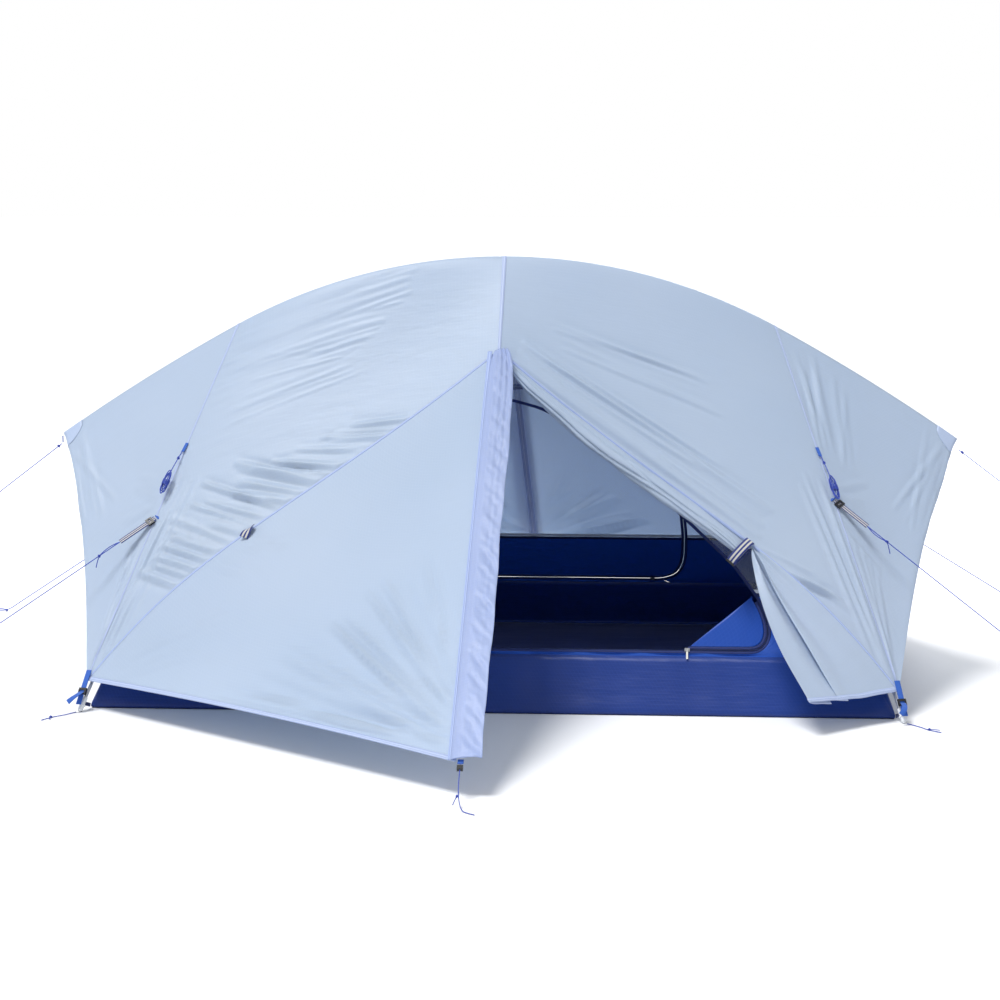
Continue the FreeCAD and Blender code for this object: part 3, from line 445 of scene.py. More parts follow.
for (sx, sy), grid in roof.items():
    where = "%s_%s" % ("front" if sy < 0 else "rear", "left" if sx < 0 else "right")
    roof_cloth = grid_object("fly_roof_" + where, [facing(grid, centre_of_tent)], fly_cloth, FLY_GAUGE)
    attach(roof_cloth, "tent")
    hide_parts("fly_body_" + where)

# ------------------------------------------------------------------ fly ends
# Each end is a tall three-cornered wall. Two narrow panels run from the leg seams to the overhanging
# tip of the ridge, and the wall between them hangs from the tip to the arched end hem.
END_ROWS, END_COLS = 90, 64


def end_quarter():
    """Right rear quarter of an end: a fan of lines from the foot to the path hub, tip, hem middle,
    with its crease from the tip softened by averaging neighbouring lines."""
    chord = line(fly_hub, fly_tip, END_COLS)
    share = np.linspace(0, 1, END_COLS)
    rise = unit(np.array([-(fly_tip - fly_hub)[2], 0, (fly_tip - fly_hub)[0]]))
    chord += (0.008 * 4 * share * (1 - share))[:, None] * rise
    hem_middle = np.array([fly_foot[0] - 0.012, 0, fly_foot[2] + 0.018])
    wall = line(fly_tip, hem_middle, END_COLS)
    wall[:, 0] -= 0.030 * np.sin(np.pi * share)
    path = np.vstack([chord, wall[1:]])
    v = np.linspace(0, 1, END_ROWS)[:, None, None]
    grid = path[None] * (1 - v) + fly_foot * v
    count = len(path)
    reach = 9
    kernel = np.exp(-np.linspace(-1.6, 1.6, 2 * reach + 1) ** 2)
    kernel /= kernel.sum()
    padded = np.pad(grid, ((0, 0), (reach, reach), (0, 0)), mode="edge")
    soft = sum(k * padded[:, i:i + count] for i, k in enumerate(kernel))
    place = np.abs(np.arange(count) - (END_COLS - 1)) / (END_COLS - 1.0)
    near = np.clip(1 - place / 0.55, 0, 1) ** 0.7
    grid = grid + (soft - grid) * (np.sin(np.pi * v[..., 0]) ** 0.5 * near[None])[..., None] * 0.95
    sag = np.exp(-(place / 0.5) ** 2)[None] * np.sin(np.pi * v[..., 0])
    grid[..., 0] -= 0.016 * sag
    cheek = (np.sin(np.pi * np.clip(np.arange(count) / (END_COLS - 1.0), 0, 1))[None]
             * np.sin(np.pi * v[..., 0]))
    return grid - normals(grid, (1, 0, 0)) * (0.010 * cheek)[..., None]


END_FOLDS = {
    "left": [(family(9, (0.46, 0.04), (0.54, 0.04), (0.30, 0.42), (0.72, 0.34)), 0.0085, 0.0022),
             (family(8, (0.02, 0.42), (0.02, 0.60), (0.22, 0.30), (0.26, 0.66)), 0.0080, 0.0020),
             (family(5, (0.02, 0.95), (0.10, 0.95), (0.02, 0.60), (0.16, 0.62)), 0.0075, 0.0018)],
    "right": [(family(9, (0.46, 0.04), (0.54, 0.04), (0.30, 0.42), (0.72, 0.34)), 0.0085, 0.0022),
              (family(7, (0.04, 0.06), (0.16, 0.08), (0.03, 0.36), (0.12, 0.34)), 0.0085, 0.0026),
              (family(8, (0.02, 0.42), (0.02, 0.60), (0.22, 0.30), (0.26, 0.66)), 0.0080, 0.0020),
              (family(5, (0.02, 0.95), (0.10, 0.95), (0.02, 0.60), (0.16, 0.62)), 0.0075, 0.0018)],
}
ends = {}
for side, sx in (("left", LEFT), ("right", RIGHT)):
    for sy in (FRONT, REAR):
        grid = mirrored(end_quarter(), sx, sy)
        height = sum(fold_height(grid, lines, width, tall) for lines, width, tall in END_FOLDS[side])
        height = height * edge_fade(grid, (0.04, 0.05), (0.02, 0.02))
        ends[sx, sy] = grid + normals(grid, (sx, 0, 0.3)) * height[..., None]
    pair = [facing(ends[sx, sy], centre_of_tent) for sy in (FRONT, REAR)]
    end_cloth = grid_object("fly_end_cloth_" + side, pair, fly_cloth, FLY_GAUGE)
    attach(end_cloth, "tent")
    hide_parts("fly_end_" + side)

# ------------------------------------------------------------------ fly doors that are zipped shut
# Three of the four vestibule doors hang closed: a triangle from the peak, sewn to the roof along the
# seam and pulled to the front corner, where long folds spread from the pegged hem.
DOOR_ROWS, DOOR_COLS = 110, 90
ZIP_SIDE = 0.010


def door_quarter():
    """Right rear door: straight lines from the zip's edge to the seam, with the hem as its last row,
    hollowed a little between them."""
    zip_edge = line(fly_peak + (ZIP_SIDE, 0, 0), fly_corner + (ZIP_SIDE, 0, 0), DOOR_ROWS)
    seam = door_seam(DOOR_ROWS)
    s = np.linspace(0, 1, DOOR_COLS)[None, :, None]
    grid = zip_edge[:, None] * (1 - s) + seam[:, None] * s
    t = np.linspace(0, 1, DOOR_ROWS)[:, None]
    hollow = 0.020 * np.sin(np.pi * s[..., 0]) * np.sin(np.pi * t)
    grid = grid - normals(grid, (0.3, 1, 0.6)) * hollow[..., None]
    grid[..., 2] += 0.010 * np.sin(np.pi * s[..., 0]) * t ** 6
    return grid


DOOR_FOLDS = [
    (family(10, (0.02, 0.975), (0.02, 0.90), (0.62, 0.985), (0.34, 0.62)), 0.0120, 0.0060),
    (family(7, (0.02, 0.93), (0.02, 0.80), (0.45, 0.80), (0.20, 0.50)), 0.0080, 0.0020),
    (family(8, (0.985, 0.55), (0.985, 0.68), (0.80, 0.56), (0.80, 0.72)), 0.0080, 0.0020),
    (family(5, (0.97, 0.98), (0.93, 0.98), (0.80, 0.78), (0.74, 0.90)), 0.0090, 0.0020)]
doors = {}
for end, side, sx, sy in (("front", "left", LEFT, FRONT), ("rear", "left", LEFT, REAR),
                          ("rear", "right", RIGHT, REAR)):
    grid = mirrored(door_quarter(), sx, sy)
    height = sum(fold_height(grid, lines, width, tall) for lines, width, tall in DOOR_FOLDS)
    height = height * edge_fade(grid, (0.10, 0.02), (0.02, 0.02))
    grid = grid + normals(grid, (0, sy, 0.6)) * height[..., None]
    doors[sx, sy] = grid
    door_cloth = grid_object("fly_door_cloth_%s_%s" % (end, side), [facing(grid, centre_of_tent)], fly_cloth,
                             FLY_GAUGE)
    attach(door_cloth, "tent")
    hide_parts("fly_door_%s_%s" % (end, side))

# ------------------------------------------------------------------ seams and hems
# Where panels meet, their edges are folded into each other and sewn twice, which leaves a flat rib of
# four layers. The hems are turned up and sewn the same way.


def stitch_tape(name, base, thread, see_through):
    """Folded, twice-sewn nylon: a row of short stitches near each edge of a band 12 mm wide."""
    made, tree, out = material(name)
    uv = node(tree, "UVMap", uv_map="cloth")
    split = node(tree, "SeparateXYZ", links={"Vector": uv.outputs[0]})
    across = node(tree, "Math", {1: 0.006}, {0: split.outputs["X"]}, operation="DIVIDE")
    row = node(tree, "Math", {1: 1.0}, {0: across.outputs[0]}, operation="PINGPONG")
    in_row = node(tree, "Math", {1: 0.5, 2: 0.13}, {0: row.outputs[0]}, operation="COMPARE")
    along = node(tree, "Math", {1: 0.0017}, {0: split.outputs["Y"]}, operation="DIVIDE")
    dash = node(tree, "Math", {1: 1.0}, {0: along.outputs[0]}, operation="PINGPONG")
    long_dash = node(tree, "Math", {1: 0.3}, {0: dash.outputs[0]}, operation="GREATER_THAN")
    stitch = node(tree, "Math", links={0: in_row.outputs[0], 1: long_dash.outputs[0]}, operation="MULTIPLY")
    colour = node(tree, "Mix", {"A": (*base, 1), "B": (*thread, 1)}, {"Factor": stitch.outputs[0]},
                  data_type="RGBA")
    wave = node(tree, "TexNoise", {"Scale": 60.0, "Detail": 2.0}, {"Vector": uv.outputs[0]})
    pucker = node(tree, "Math", {1: 0.0006}, {0: wave.outputs["Fac"]}, operation="MULTIPLY")
    sunk = node(tree, "Math", {1: -0.0005}, {0: stitch.outputs[0], 2: pucker.outputs[0]},
                operation="MULTIPLY_ADD")
    bump = node(tree, "Bump", {"Strength": 0.9, "Distance": 1.0}, {"Height": sunk.outputs[0]})
    shell = node(tree, "BsdfPrincipled", {"Roughness": 0.5, "Sheen Weight": 0.2},
                 {"Base Color": colour.outputs["Result"], "Normal": bump.outputs[0]})
    glow = node(tree, "BsdfTranslucent", links={"Color": colour.outputs["Result"]})
    both = node(tree, "MixShader", {"Fac": see_through}, {1: shell.outputs[0], 2: glow.outputs[0]})
    tree.links.new(both.outputs[0], out.inputs["Surface"])
    return made


seam_tape = stitch_tape("fly_seam_tape", (0.56, 0.66, 0.90), (0.42, 0.53, 0.82), 0.25)
door_tape = stitch_tape("fly_door_piping", (0.45, 0.56, 0.85), (0.30, 0.41, 0.74), 0.2)


def resampled(path, count):
    """A path's points again, at evenly spaced shares of its length."""
    far = np.concatenate([[0], np.cumsum(np.linalg.norm(np.diff(path, axis=0), axis=1))])
    want = np.linspace(0, far[-1], count)
    return np.stack([np.interp(want, far, path[:, k]) for k in range(3)], -1)


def rib(name, seam, beside_a, beside_b, up, wide_a, wide_b, tall, finish):
    """Flat rib along a seam: points at both panels' sides and a raised middle, lifted off the cloth."""
    side_a, side_b = unit(beside_a - seam), unit(beside_b - seam)
    lift = np.array([0.0008, 0.55 * tall, tall, 0.55 * tall, 0.0008])
    reach = [(side_a, wide_a), (side_a, wide_a * 0.55), (side_a, 0), (side_b, wide_b * 0.55),
             (side_b, wide_b)]
    grid = np.stack([seam + side * wide + up * h for (side, wide), h in zip(reach, lift)], axis=1)
    made = grid_object(name, [facing(grid, centre_of_tent)], finish, 0.0006)
    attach(made, "tent")
    return made


def folded_hem(name, edge, above, n, finish, gauge=0.0011):
    """Turned-up hem: a thin channel that wraps a sheet's edge, from outside round to inside."""
    mid = edge + (above - edge) * 0.5
    beyond = edge + unit(edge - above) * 0.0012
    rows = [above + n * gauge, mid + n * (gauge + 0.0004), edge + n * gauge, beyond, edge - n * gauge,
            mid - n * gauge, above - n * gauge]
    made = grid_object(name, [facing(np.stack(rows, axis=1), centre_of_tent)], finish, 0.0005)
    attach(made, "tent")
    return made


for (sx, sy), grid in roof.items():
    where = "%s_%s" % ("front" if sy < 0 else "rear", "left" if sx < 0 else "right")
    leg = grid[:, -1]
    beside_roof = grid[:, -3]
    beside_end = resampled(ends[sx, sy][:, 2], ROWS)
    up = unit(np.array([sx * 0.75, sy * 0.5, 0.45]))
    rib("leg_seam_" + where, leg, beside_roof, beside_end, up, 0.005, 0.004, 0.0010, seam_tape)
    seam = grid[-1]
    down = unit(np.cross(np.gradient(seam, axis=0), (0, sy * 0.8, 0.6)))
    down = down * np.sign(down[:, 2:3].mean() * -1)
    rib("door_seam_" + where, seam[1:-1], grid[-3][1:-1], (seam + down)[1:-1],
        unit(np.array([0, sy * 0.8, 0.62])),
        0.004, 0.007, 0.0034, door_tape)
for sy, end in ((FRONT, "front"), (REAR, "rear")):
    left, right = roof[LEFT, sy], roof[RIGHT, sy]
    rib("centre_seam_" + end, left[:, 0], left[:, 2], right[:, 2], unit(np.array([0, sy * 0.6, 0.8])),
        0.006, 0.006, 0.0012, seam_tape)
for (sx, sy), grid in doors.items():
    where = "%s_%s" % ("front" if sy < 0 else "rear", "left" if sx < 0 else "right")
    folded_hem("door_hem_" + where, grid[-1], grid[-2], normals(grid, (0, sy, 0.6))[-1], seam_tape)
for (sx, sy), grid in ends.items():
    where = "%s_%s" % ("front" if sy < 0 else "rear", "left" if sx < 0 else "right")
    hem = grid[:, -1]
    inner_line = grid[:, -1] + unit(grid[:, -4] - grid[:, -1]) * 0.014
    folded_hem("end_hem_" + where, hem[:-2], inner_line[:-2], normals(grid, (sx, 0, 0.2))[:-2, -1],
               seam_tape)

# A rounded patch of heavier cloth over each ridge tip.
patch_cloth = ripstop_cloth("fly_patch_nylon", (0.50, 0.60, 0.80), (0.47, 0.57, 0.77), (0.54, 0.64, 0.83),
                            0.2)


def sample(grid, columns, rows):
    """Points of a grid at fractional columns and rows, blended from the four points around each."""
    j0 = np.clip(columns.astype(int), 0, grid.shape[1] - 2)
    i0 = np.clip(rows.astype(int), 0, grid.shape[0] - 2)
    a, b = (columns - j0)[..., None], (rows - i0)[..., None]
    upper = grid[i0, j0] * (1 - a) + grid[i0, j0 + 1] * a
    lower = grid[i0 + 1, j0] * (1 - a) + grid[i0 + 1, j0 + 1] * a
    return upper * (1 - b) + lower * b


for side, sx in (("left", LEFT), ("right", RIGHT)):
    halves = []
    for sy in (FRONT, REAR):
        grid = ends[sx, sy] + normals(ends[sx, sy], (sx, 0, 0.3)) * 0.0011
        across = np.linspace(-1, 1, 15)
        reach = np.sqrt(1 - across ** 2 * 0.9)
        columns = END_COLS - 1 + np.where(across < 0, 7.0, 5.5) * across
        rows = np.linspace(0, 1, 9)[:, None] * reach[None] * 5.0
        halves.append(facing(sample(grid, np.broadcast_to(columns, rows.shape), rows), centre_of_tent))
    patch = grid_object("tip_patch_" + side, halves, patch_cloth, 0.0005)
    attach(patch, "tent")

# ------------------------------------------------------------------ storm flaps
# A strip of the same nylon is sewn beside each vestibule zip and folds over it against rain. It isn't
# under tension, so it puckers along its stitching and ripples towards its free edge.
flap_cloth = ripstop_cloth("storm_flap_nylon", (0.55, 0.64, 0.87), (0.49, 0.59, 0.84), (0.59, 0.68, 0.89),
                           0.45)
zip_run = float(np.linalg.norm(fly_peak - fly_corner))


def zip_point(sy, x, y, z):
    """Points by a vestibule zip: x across it, y up from the peak, z outwards."""
    up = unit(mirrored(fly_peak - fly_corner, 1, sy))
    across = np.array([-sy, 0, 0.0])
    out = unit(np.cross(across, up))
    shape = np.broadcast_shapes(np.shape(x), np.shape(y), np.shape(z))
    x, y, z = (np.broadcast_to(v, shape)[..., None] for v in (x, y, z))
    return mirrored(fly_peak, 1, sy) + across * x + up * y + out * z


def ripples(x, y, waves):
    """Sum of sine ripples, each with its wavelengths across and along, its height and its phase."""
    return sum(tall * np.sin(2 * np.pi * (x / lx + y / ly) + phase) for lx, ly, tall, phase in waves)


FLAP_WAVES = [(0.060, 0.085, 0.0012, 0.3), (0.038, 0.051, 0.0010, 1.9), (-0.075, 0.064, 0.0007, 4.0),
              (0.027, 0.033, 0.0006, 2.6), (0.110, 0.190, 0.0016, 5.1), (0.030, 0.071, 0.0008, 3.3),
              (0.045, 0.024, 0.0004, 0.9)]
for sy, end in ((FRONT, "front"), (REAR, "rear")):
    down = np.linspace(-0.006, -zip_run + 0.004, 260)[:, None]
    over = np.linspace(0, 1, 30)[None, :]
    loose = np.clip(over * 1.4, 0, 1)
    fan = 0.0024 * np.sin(2 * np.pi * over * 4.5 + 1.0) * np.exp(down / 0.42)
    x = -0.024 + 0.072 * over + (0.0014 * np.sin(down * 11.0) + 0.0009 * np.sin(down * 29.0 + 1)) * over ** 3
    rise = 0.0095 * np.clip(over * 3.0, 0, 1) ** 0.6
    z = rise + loose * (ripples(x, down, FLAP_WAVES) + fan) * (1 - 0.7 * over ** 8) + 0.001
    x = x * (1 - 0.55 * np.exp(down / 0.05))
    flap_grid = zip_point(sy, x, down, np.maximum(z, 0.0015))
    flap = grid_object("storm_flap_cloth_" + end, [facing(flap_grid, centre_of_tent)], flap_cloth, 0.0006)
    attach(flap, "tent")
    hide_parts("storm_flap_" + end)
    flap_seam = zip_point(sy, np.linspace(-0.030, -0.018, 5)[None, :], down, 0.0014)
    stitched = grid_object("storm_flap_seam_" + end, [facing(flap_seam, centre_of_tent)], door_tape, 0.0006)
    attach(stitched, "tent")

# ------------------------------------------------------------------ front right door, rolled and tied
# The open door half is rolled up along its own seam from the zip's edge, and one band holds the roll.
# Below the band the cloth is free: it falls open in folds and hangs from the seam down to the hem.
door_line_front = mirrored(door_seam(200), RIGHT, FRONT)
peak_fr, foot_fr = mirrored(fly_peak, 1, -1), mirrored(fly_foot, 1, -1)
corner_fr = mirrored(fly_corner, 1, -1)
seam_way = unit(foot_fr - peak_fr)
door_out = unit(np.cross(foot_fr - peak_fr, corner_fr - peak_fr))
door_out = door_out if door_out[1] < 0 else -door_out
roll_in = unit(np.cross(door_out, seam_way))
roll_in = roll_in if roll_in @ (corner_fr - peak_fr) > 0 else -roll_in
TIE_SHARE, ROLL_RADIUS, NECK_RADIUS = 0.612, 0.030, 0.0126
ROLL_SWELL = np.array([(0.012, 0.20), (0.05, 0.42), (0.10, 0.72), (0.24, 0.95), (0.38, 1.0), (0.49, 0.92),
                       (0.57, 0.62), (0.596, 0.44), (0.63, 0.42)])


def seam_at(share):
    """Point on the front right door seam at shares from peak to foot."""
    far = np.linspace(0, 1, len(door_line_front))
    return np.stack([np.interp(share, far, door_line_front[:, k]) for k in range(3)], -1)


share = np.linspace(0.012, 0.628, 150)
swell = np.interp(share, ROLL_SWELL[:, 0], ROLL_SWELL[:, 1]) * ROLL_RADIUS
TURNS = 3.6
c = np.linspace(0, 1, 230)[None, :] ** 1.5
r_out = swell[:, None]
angle = 2 * np.pi * TURNS * c
# The cloth leaves the seam, passes over the roll and winds inwards; its radius shrinks turn by turn.
spiral = r_out * (1 - 0.72 * c)
along = share[:, None]
first_turn = np.clip(1 - angle / (2 * np.pi), 0, 1) ** 0.5
drift = 0.35 * np.sin(9 * along) + 0.25 * np.sin(23 * along + 1)
creases = sum(deep * np.exp(-((angle - place - drift * lean) / wide) ** 2)
              for place, deep, wide, lean in ((0.55, 0.20, 0.16, 0.6), (1.15, 0.26, 0.14, 1.0),
                                              (1.75, 0.20, 0.16, -0.8), (2.45, 0.24, 0.15, 0.7),
                                              (3.2, 0.2, 0.2, 1.0)))
lobes = (1 - creases * first_turn + 0.05 * np.sin(30 * along + 2 * angle)
         + 0.03 * np.sin(71 * along - 3 * angle))
spiral = spiral * lobes * 0.93
middle = (seam_at(share)[:, None] + roll_in * (r_out[..., None] + 0.005)
          - door_out * (r_out[..., None] * 0.35 + 0.003))
# The tie pulls the roll's neck down a little from its seam, towards the toggle.
straight_tie = peak_fr + (foot_fr - peak_fr) * TIE_SHARE
toggle_at = straight_tie + roll_in * (2 * NECK_RADIUS + 0.0145) - door_out * (NECK_RADIUS * 0.35 + 0.003)
neck = (seam_at(np.array([TIE_SHARE]))[0] + toggle_at) / 2
pull_in = np.exp(-((share - TIE_SHARE) / 0.075) ** 2)[:, None, None]
middle = middle + (neck - middle) * pull_in
start_angle = np.pi * 0.96
theta = start_angle - angle
roll_grid = (middle + roll_in * (spiral * np.cos(theta))[..., None]
             + door_out * (spiral * 0.86 * np.sin(theta))[..., None])
join = np.clip(c / 0.045, 0, 1)[..., None]
roll_grid = (seam_at(share)[:, None] - door_out * 0.001) * (1 - join) + roll_grid * join
roll_cloth = grid_object("fly_door_roll", [facing(roll_grid, middle.mean((0, 1)))], fly_cloth, FLY_GAUGE,
                         weld=0)
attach(roll_cloth, "tent")
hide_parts("fly_door_front_right")

hem_share = 0.235
hem_end = foot_fr + (corner_fr - foot_fr) * hem_share
t = np.linspace(0, 1, 120)[:, None]
down_share = 0.622 + (1 - 0.622) * t[:, 0]
seam_side = seam_at(down_share)
tie_low = seam_at(np.array([0.625]))[0] + roll_in * 0.016
free_edge = tie_low + (hem_end - tie_low) * t
free_edge[:, 0] -= 0.030 * np.sin(np.pi * t[:, 0] ** 0.8)
free_edge[:, 2] -= 0.004 * np.sin(np.pi * t[:, 0])
c = np.linspace(0, 1, 150)[None, :]
# Across the cloth: out to a first fold, back under, out to the free edge's fold, and back inside.
KNOTS = np.array([(0.0, 0.0), (0.34, 0.66), (0.50, 0.52), (0.74, 1.0), (1.0, 0.70)])
reach = np.interp(c[0], KNOTS[:, 0], KNOTS[:, 1])
soften = np.exp(-np.linspace(-1.8, 1.8, 15) ** 2)
soften /= soften.sum()
reach = np.convolve(np.pad(reach, 7, mode="edge"), soften, mode="valid")
layer = np.interp(c[0], [0, 0.34, 0.50, 0.74, 1.0], [0.0, 0.006, 0.001, 0.010, -0.006])
spread = free_edge - seam_side
wide = np.linalg.norm(spread, axis=1)[:, None]
drape_grid = seam_side[:, None] + spread[:, None] * reach[None, :, None]
flute = 0.010 * np.sin(c * 2 * np.pi * 3.1 + 1.2) + 0.006 * np.sin(c * 2 * np.pi * 6.4 + 3.0 * t)
body = np.sin(np.pi * np.clip(c * 1.02, 0, 1)) ** 0.5
depth = (layer[None] * 1.4 + flute * np.exp(-t * 1.6) * body) * np.minimum(1, wide / 0.08)
depth += 0.004 * np.sin(9 * t + 7 * c) * body * t
drape_grid = drape_grid + door_out * (depth - 0.004 * body)[..., None]
drape_cloth = grid_object("fly_door_drape", [facing(drape_grid, (0.4, -0.3, 0.2))], fly_cloth, FLY_GAUGE,
                          weld=0)
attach(drape_cloth, "tent")
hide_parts("fly_door_front_right")
drape_hem = folded_hem("drape_hem", drape_grid[-1], drape_grid[-4], normals(drape_grid, door_out)[-1],
                       seam_tape)

# ------------------------------------------------------------------ inner tent
# The sleeping tent hangs inside the poles: a floor with a bathtub edge, a band of solid nylon above it
# and netting up to the ridge. Each long wall has a D-shaped door with a zip round it.
LOW, SILL, BAND_TOP = 0.140, 0.155, 0.290
floor_x, floor_y = half_length - 0.014, half_width - 0.039
inner_ridge = np.array([0.333 * half_length, 0, ridge_height - 0.069])
inner_hub = hub - (0.022, 0, 0.032)
wall_slope = math.hypot(floor_y, inner_ridge[2])
DOOR_LINE = [(-430, 0), (-474, 16), (-492, 60), (-494, 140), (-484, 250), (-452, 360), (-392, 460),
             (-300, 540), (-190, 590), (-80, 607), (20, 603), (110, 580), (200, 535), (320, 447),
             (480, 322), (620, 200), (690, 112), (712, 62), (712, 24), (690, 0)]
# The door's outline is drawn in millimetres, for a wall of this length and height above the sill.
DRAWN_LENGTH, DRAWN_HEIGHT = 1.386, 0.895
door_scale = (inner_ridge[0] + floor_x) / DRAWN_LENGTH


def wall_point(sy, flat, lift=0.0):
    """Points on a long wall from (x, height) pairs, lifted off it outwards."""
    up = np.array([0, -sy * floor_y, inner_ridge[2]]) / wall_slope
    out = np.array([0, sy * inner_ridge[2], floor_y]) / wall_slope
    return (np.array([0, sy * floor_y, 0]) + flat[..., :1] * (-sy, 0, 0)
            + flat[..., 1:] * up * wall_slope / inner_ridge[2] + out * lift)


def offset_loop(loop, distance):
    """Closed (x, height) loop moved outwards by a distance, measured on the slope."""
    tall = wall_slope / inner_ridge[2]
    way = np.gradient(np.vstack([loop[-2], loop, loop[1]]) * (1, tall), axis=0)[1:-1]
    way = way / np.linalg.norm(way, axis=1, keepdims=True)
    side = np.stack([-way[:, 1], way[:, 0] / tall], -1)
    middle = loop.mean(0)
    side = side if ((loop - middle) * side).sum() > 0 else -side
    return loop + side * distance


corners = np.array(DOOR_LINE) / 1000 * (door_scale, (inner_ridge[2] - SILL) / DRAWN_HEIGHT) + (0, SILL)
corners = np.column_stack([np.vstack([corners, corners[:1]]), np.zeros(len(corners) + 1)])
loop = resampled(corners, 321)[:-1, :2]
blur = np.exp(-np.linspace(-1.7, 1.7, 9) ** 2)
loop = sum(k * np.roll(loop, i - 4, axis=0) for i, k in enumerate(blur / blur.sum()))
door_loop = np.vstack([loop, loop[:1]])


def netted_cloth(name, band, net, thread):
    """Wall cloth: solid nylon up to a sewn edge at the band's top, and open netting above it."""
    made, tree, out = material(name)
    place = node(tree, "TexCoord")
    height = node(tree, "SeparateXYZ", links={"Vector": place.outputs["Object"]})
    solid = node(tree, "Math", {1: BAND_TOP}, {0: height.outputs["Z"]}, operation="LESS_THAN")
    light_line = node(tree, "Math", {1: BAND_TOP + 0.005, 2: 0.004}, {0: height.outputs["Z"]},
                      operation="COMPARE")
    dark_line = node(tree, "Math", {1: BAND_TOP - 0.004, 2: 0.004}, {0: height.outputs["Z"]},
                     operation="COMPARE")
    uv = node(tree, "UVMap", uv_map="cloth")
    split = node(tree, "SeparateXYZ", links={"Vector": uv.outputs[0]})
    threads = []
    for way in ("X", "Y"):
        cells = node(tree, "Math", {1: 0.0008}, {0: split.outputs[way]}, operation="DIVIDE")
        inside = node(tree, "Math", {1: 1.0}, {0: cells.outputs[0]}, operation="PINGPONG")
        threads.append(node(tree, "Math", {1: 0.9}, {0: inside.outputs[0]},
                            operation="GREATER_THAN").outputs[0])
    knit = node(tree, "Math", links={0: threads[0], 1: threads[1]}, operation="MAXIMUM")
    closed = node(tree, "Math", links={0: solid.outputs[0], 1: light_line.outputs[0]}, operation="MAXIMUM")
    cover = node(tree, "Math", links={0: closed.outputs[0], 1: knit.outputs[0]}, operation="MAXIMUM")
    slow = node(tree, "TexNoise", {"Scale": 14.0, "Detail": 3.0}, {"Vector": uv.outputs[0]})
    first = node(tree, "Mix", {"A": (*net, 1), "B": (*band, 1)}, {"Factor": solid.outputs[0]},
                 data_type="RGBA")
    second = node(tree, "Mix", {"B": (*thread, 1)},
                  {"Factor": light_line.outputs[0], "A": first.outputs["Result"]},
                  data_type="RGBA")
    colour = node(tree, "Mix", {"B": (0.004, 0.012, 0.09, 1)},
                  {"Factor": dark_line.outputs[0], "A": second.outputs["Result"]}, data_type="RGBA")
    wrinkle = node(tree, "Math", {1: 0.006}, {0: slow.outputs["Fac"]}, operation="MULTIPLY")
    bump = node(tree, "Bump", {"Strength": 0.5, "Distance": 1.0}, {"Height": wrinkle.outputs[0]})
    shell = node(tree, "BsdfPrincipled", {"Roughness": 0.6},
                 {"Base Color": colour.outputs["Result"], "Alpha": cover.outputs[0],
                  "Normal": bump.outputs[0]})
    tree.links.new(shell.outputs[0], out.inputs["Surface"])
    return made


NAVY, ROYAL = (0.004, 0.018, 0.13), (0.004, 0.075, 0.45)
wall_cloth = netted_cloth("inner_wall_cloth", ROYAL, (0.56, 0.60, 0.65), (0.70, 0.74, 0.80))
tub_cloth = ripstop_cloth("bathtub_nylon", (0.005, 0.036, 0.23), (0.004, 0.026, 0.18), (0.012, 0.05, 0.28),
                          0.0, rough=0.36, crinkle=0.003)
floor_cloth = ripstop_cloth("floor_nylon", NAVY, (0.004, 0.012, 0.10), (0.01, 0.03, 0.17), 0.0, rough=0.4,
                            crinkle=0.003)


def cloth_piece(obj, node_name):
    """Let a static cloth stand for its node: attach it to the tent and hide the node's part."""
    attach(obj, "tent")
    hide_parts(node_name)


gx, gy = np.meshgrid(np.linspace(-1, 1, 110), np.linspace(-1, 1, 70))
swell = (0.0035 * np.clip(np.sin(9 * gx + 3 * gy) * np.sin(7 * gy - 4 * gx + 1), 0, 1)
         * (1 - gx ** 8) * (1 - gy ** 8))
floor_grid = np.stack([gx * (floor_x - 0.006), gy * (floor_y - 0.006), 0.0016 + swell], -1)
floor_sheet = grid_object("inner_floor_cloth", [facing(floor_grid, (0, 0, -1))], floor_cloth, 0.0006)
cloth_piece(floor_sheet, "inner_floor")

heights = np.array([0.0022, 0.0028, 0.005, 0.009, 0.016, 0.03, 0.05, 0.07, 0.09, 0.11, 0.125, LOW])
inset = np.array([0.012, 0.006, 0.0025, 0.0008, 0, 0, 0, 0, 0, 0, 0, 0])
rows = []
for z, back in zip(heights, inset):
    wall_x = floor_x + (inner_ridge[0] - floor_x) * z / inner_ridge[2] - back
    wall_y = floor_y * (1 - z / inner_ridge[2]) - back
    end_x = floor_x + (inner_hub[0] - floor_x) * z / inner_hub[2] - back
    end_y = floor_y * (1 - z / inner_hub[2]) - back
    ring = np.array([(wall_x, -wall_y), (end_x, -end_y), (end_x, end_y), (wall_x, wall_y),
                     (-wall_x, wall_y), (-end_x, end_y), (-end_x, -end_y), (-wall_x, -wall_y),
                     (wall_x, -wall_y)])
    counts = (4, 60, 4, 110, 4, 60, 4, 110)
    row = [np.linspace(a, b, n, endpoint=False) for a, b, n in zip(ring[:-1], ring[1:], counts)]
    row = np.vstack(row + [ring[:1]])
    rows.append(np.column_stack([row, np.full(len(row), z)]))
tub = np.array(rows)
around = np.linspace(0, 2 * np.pi, tub.shape[1])[None, :]
slack = (np.sin(np.pi * np.clip(heights / LOW, 0, 1))[:, None]
         * (0.004 * np.sin(23 * around) + 0.003 * np.sin(41 * around + 1)))
tub[..., :2] -= unit(tub[..., :2]) * np.abs(slack)[..., None]
tub_walls = grid_object("bathtub_cloth", [facing(tub[:, ::-1], centre_of_tent)], tub_cloth, 0.0008)
cloth_piece(tub_walls, "bathtub_walls")

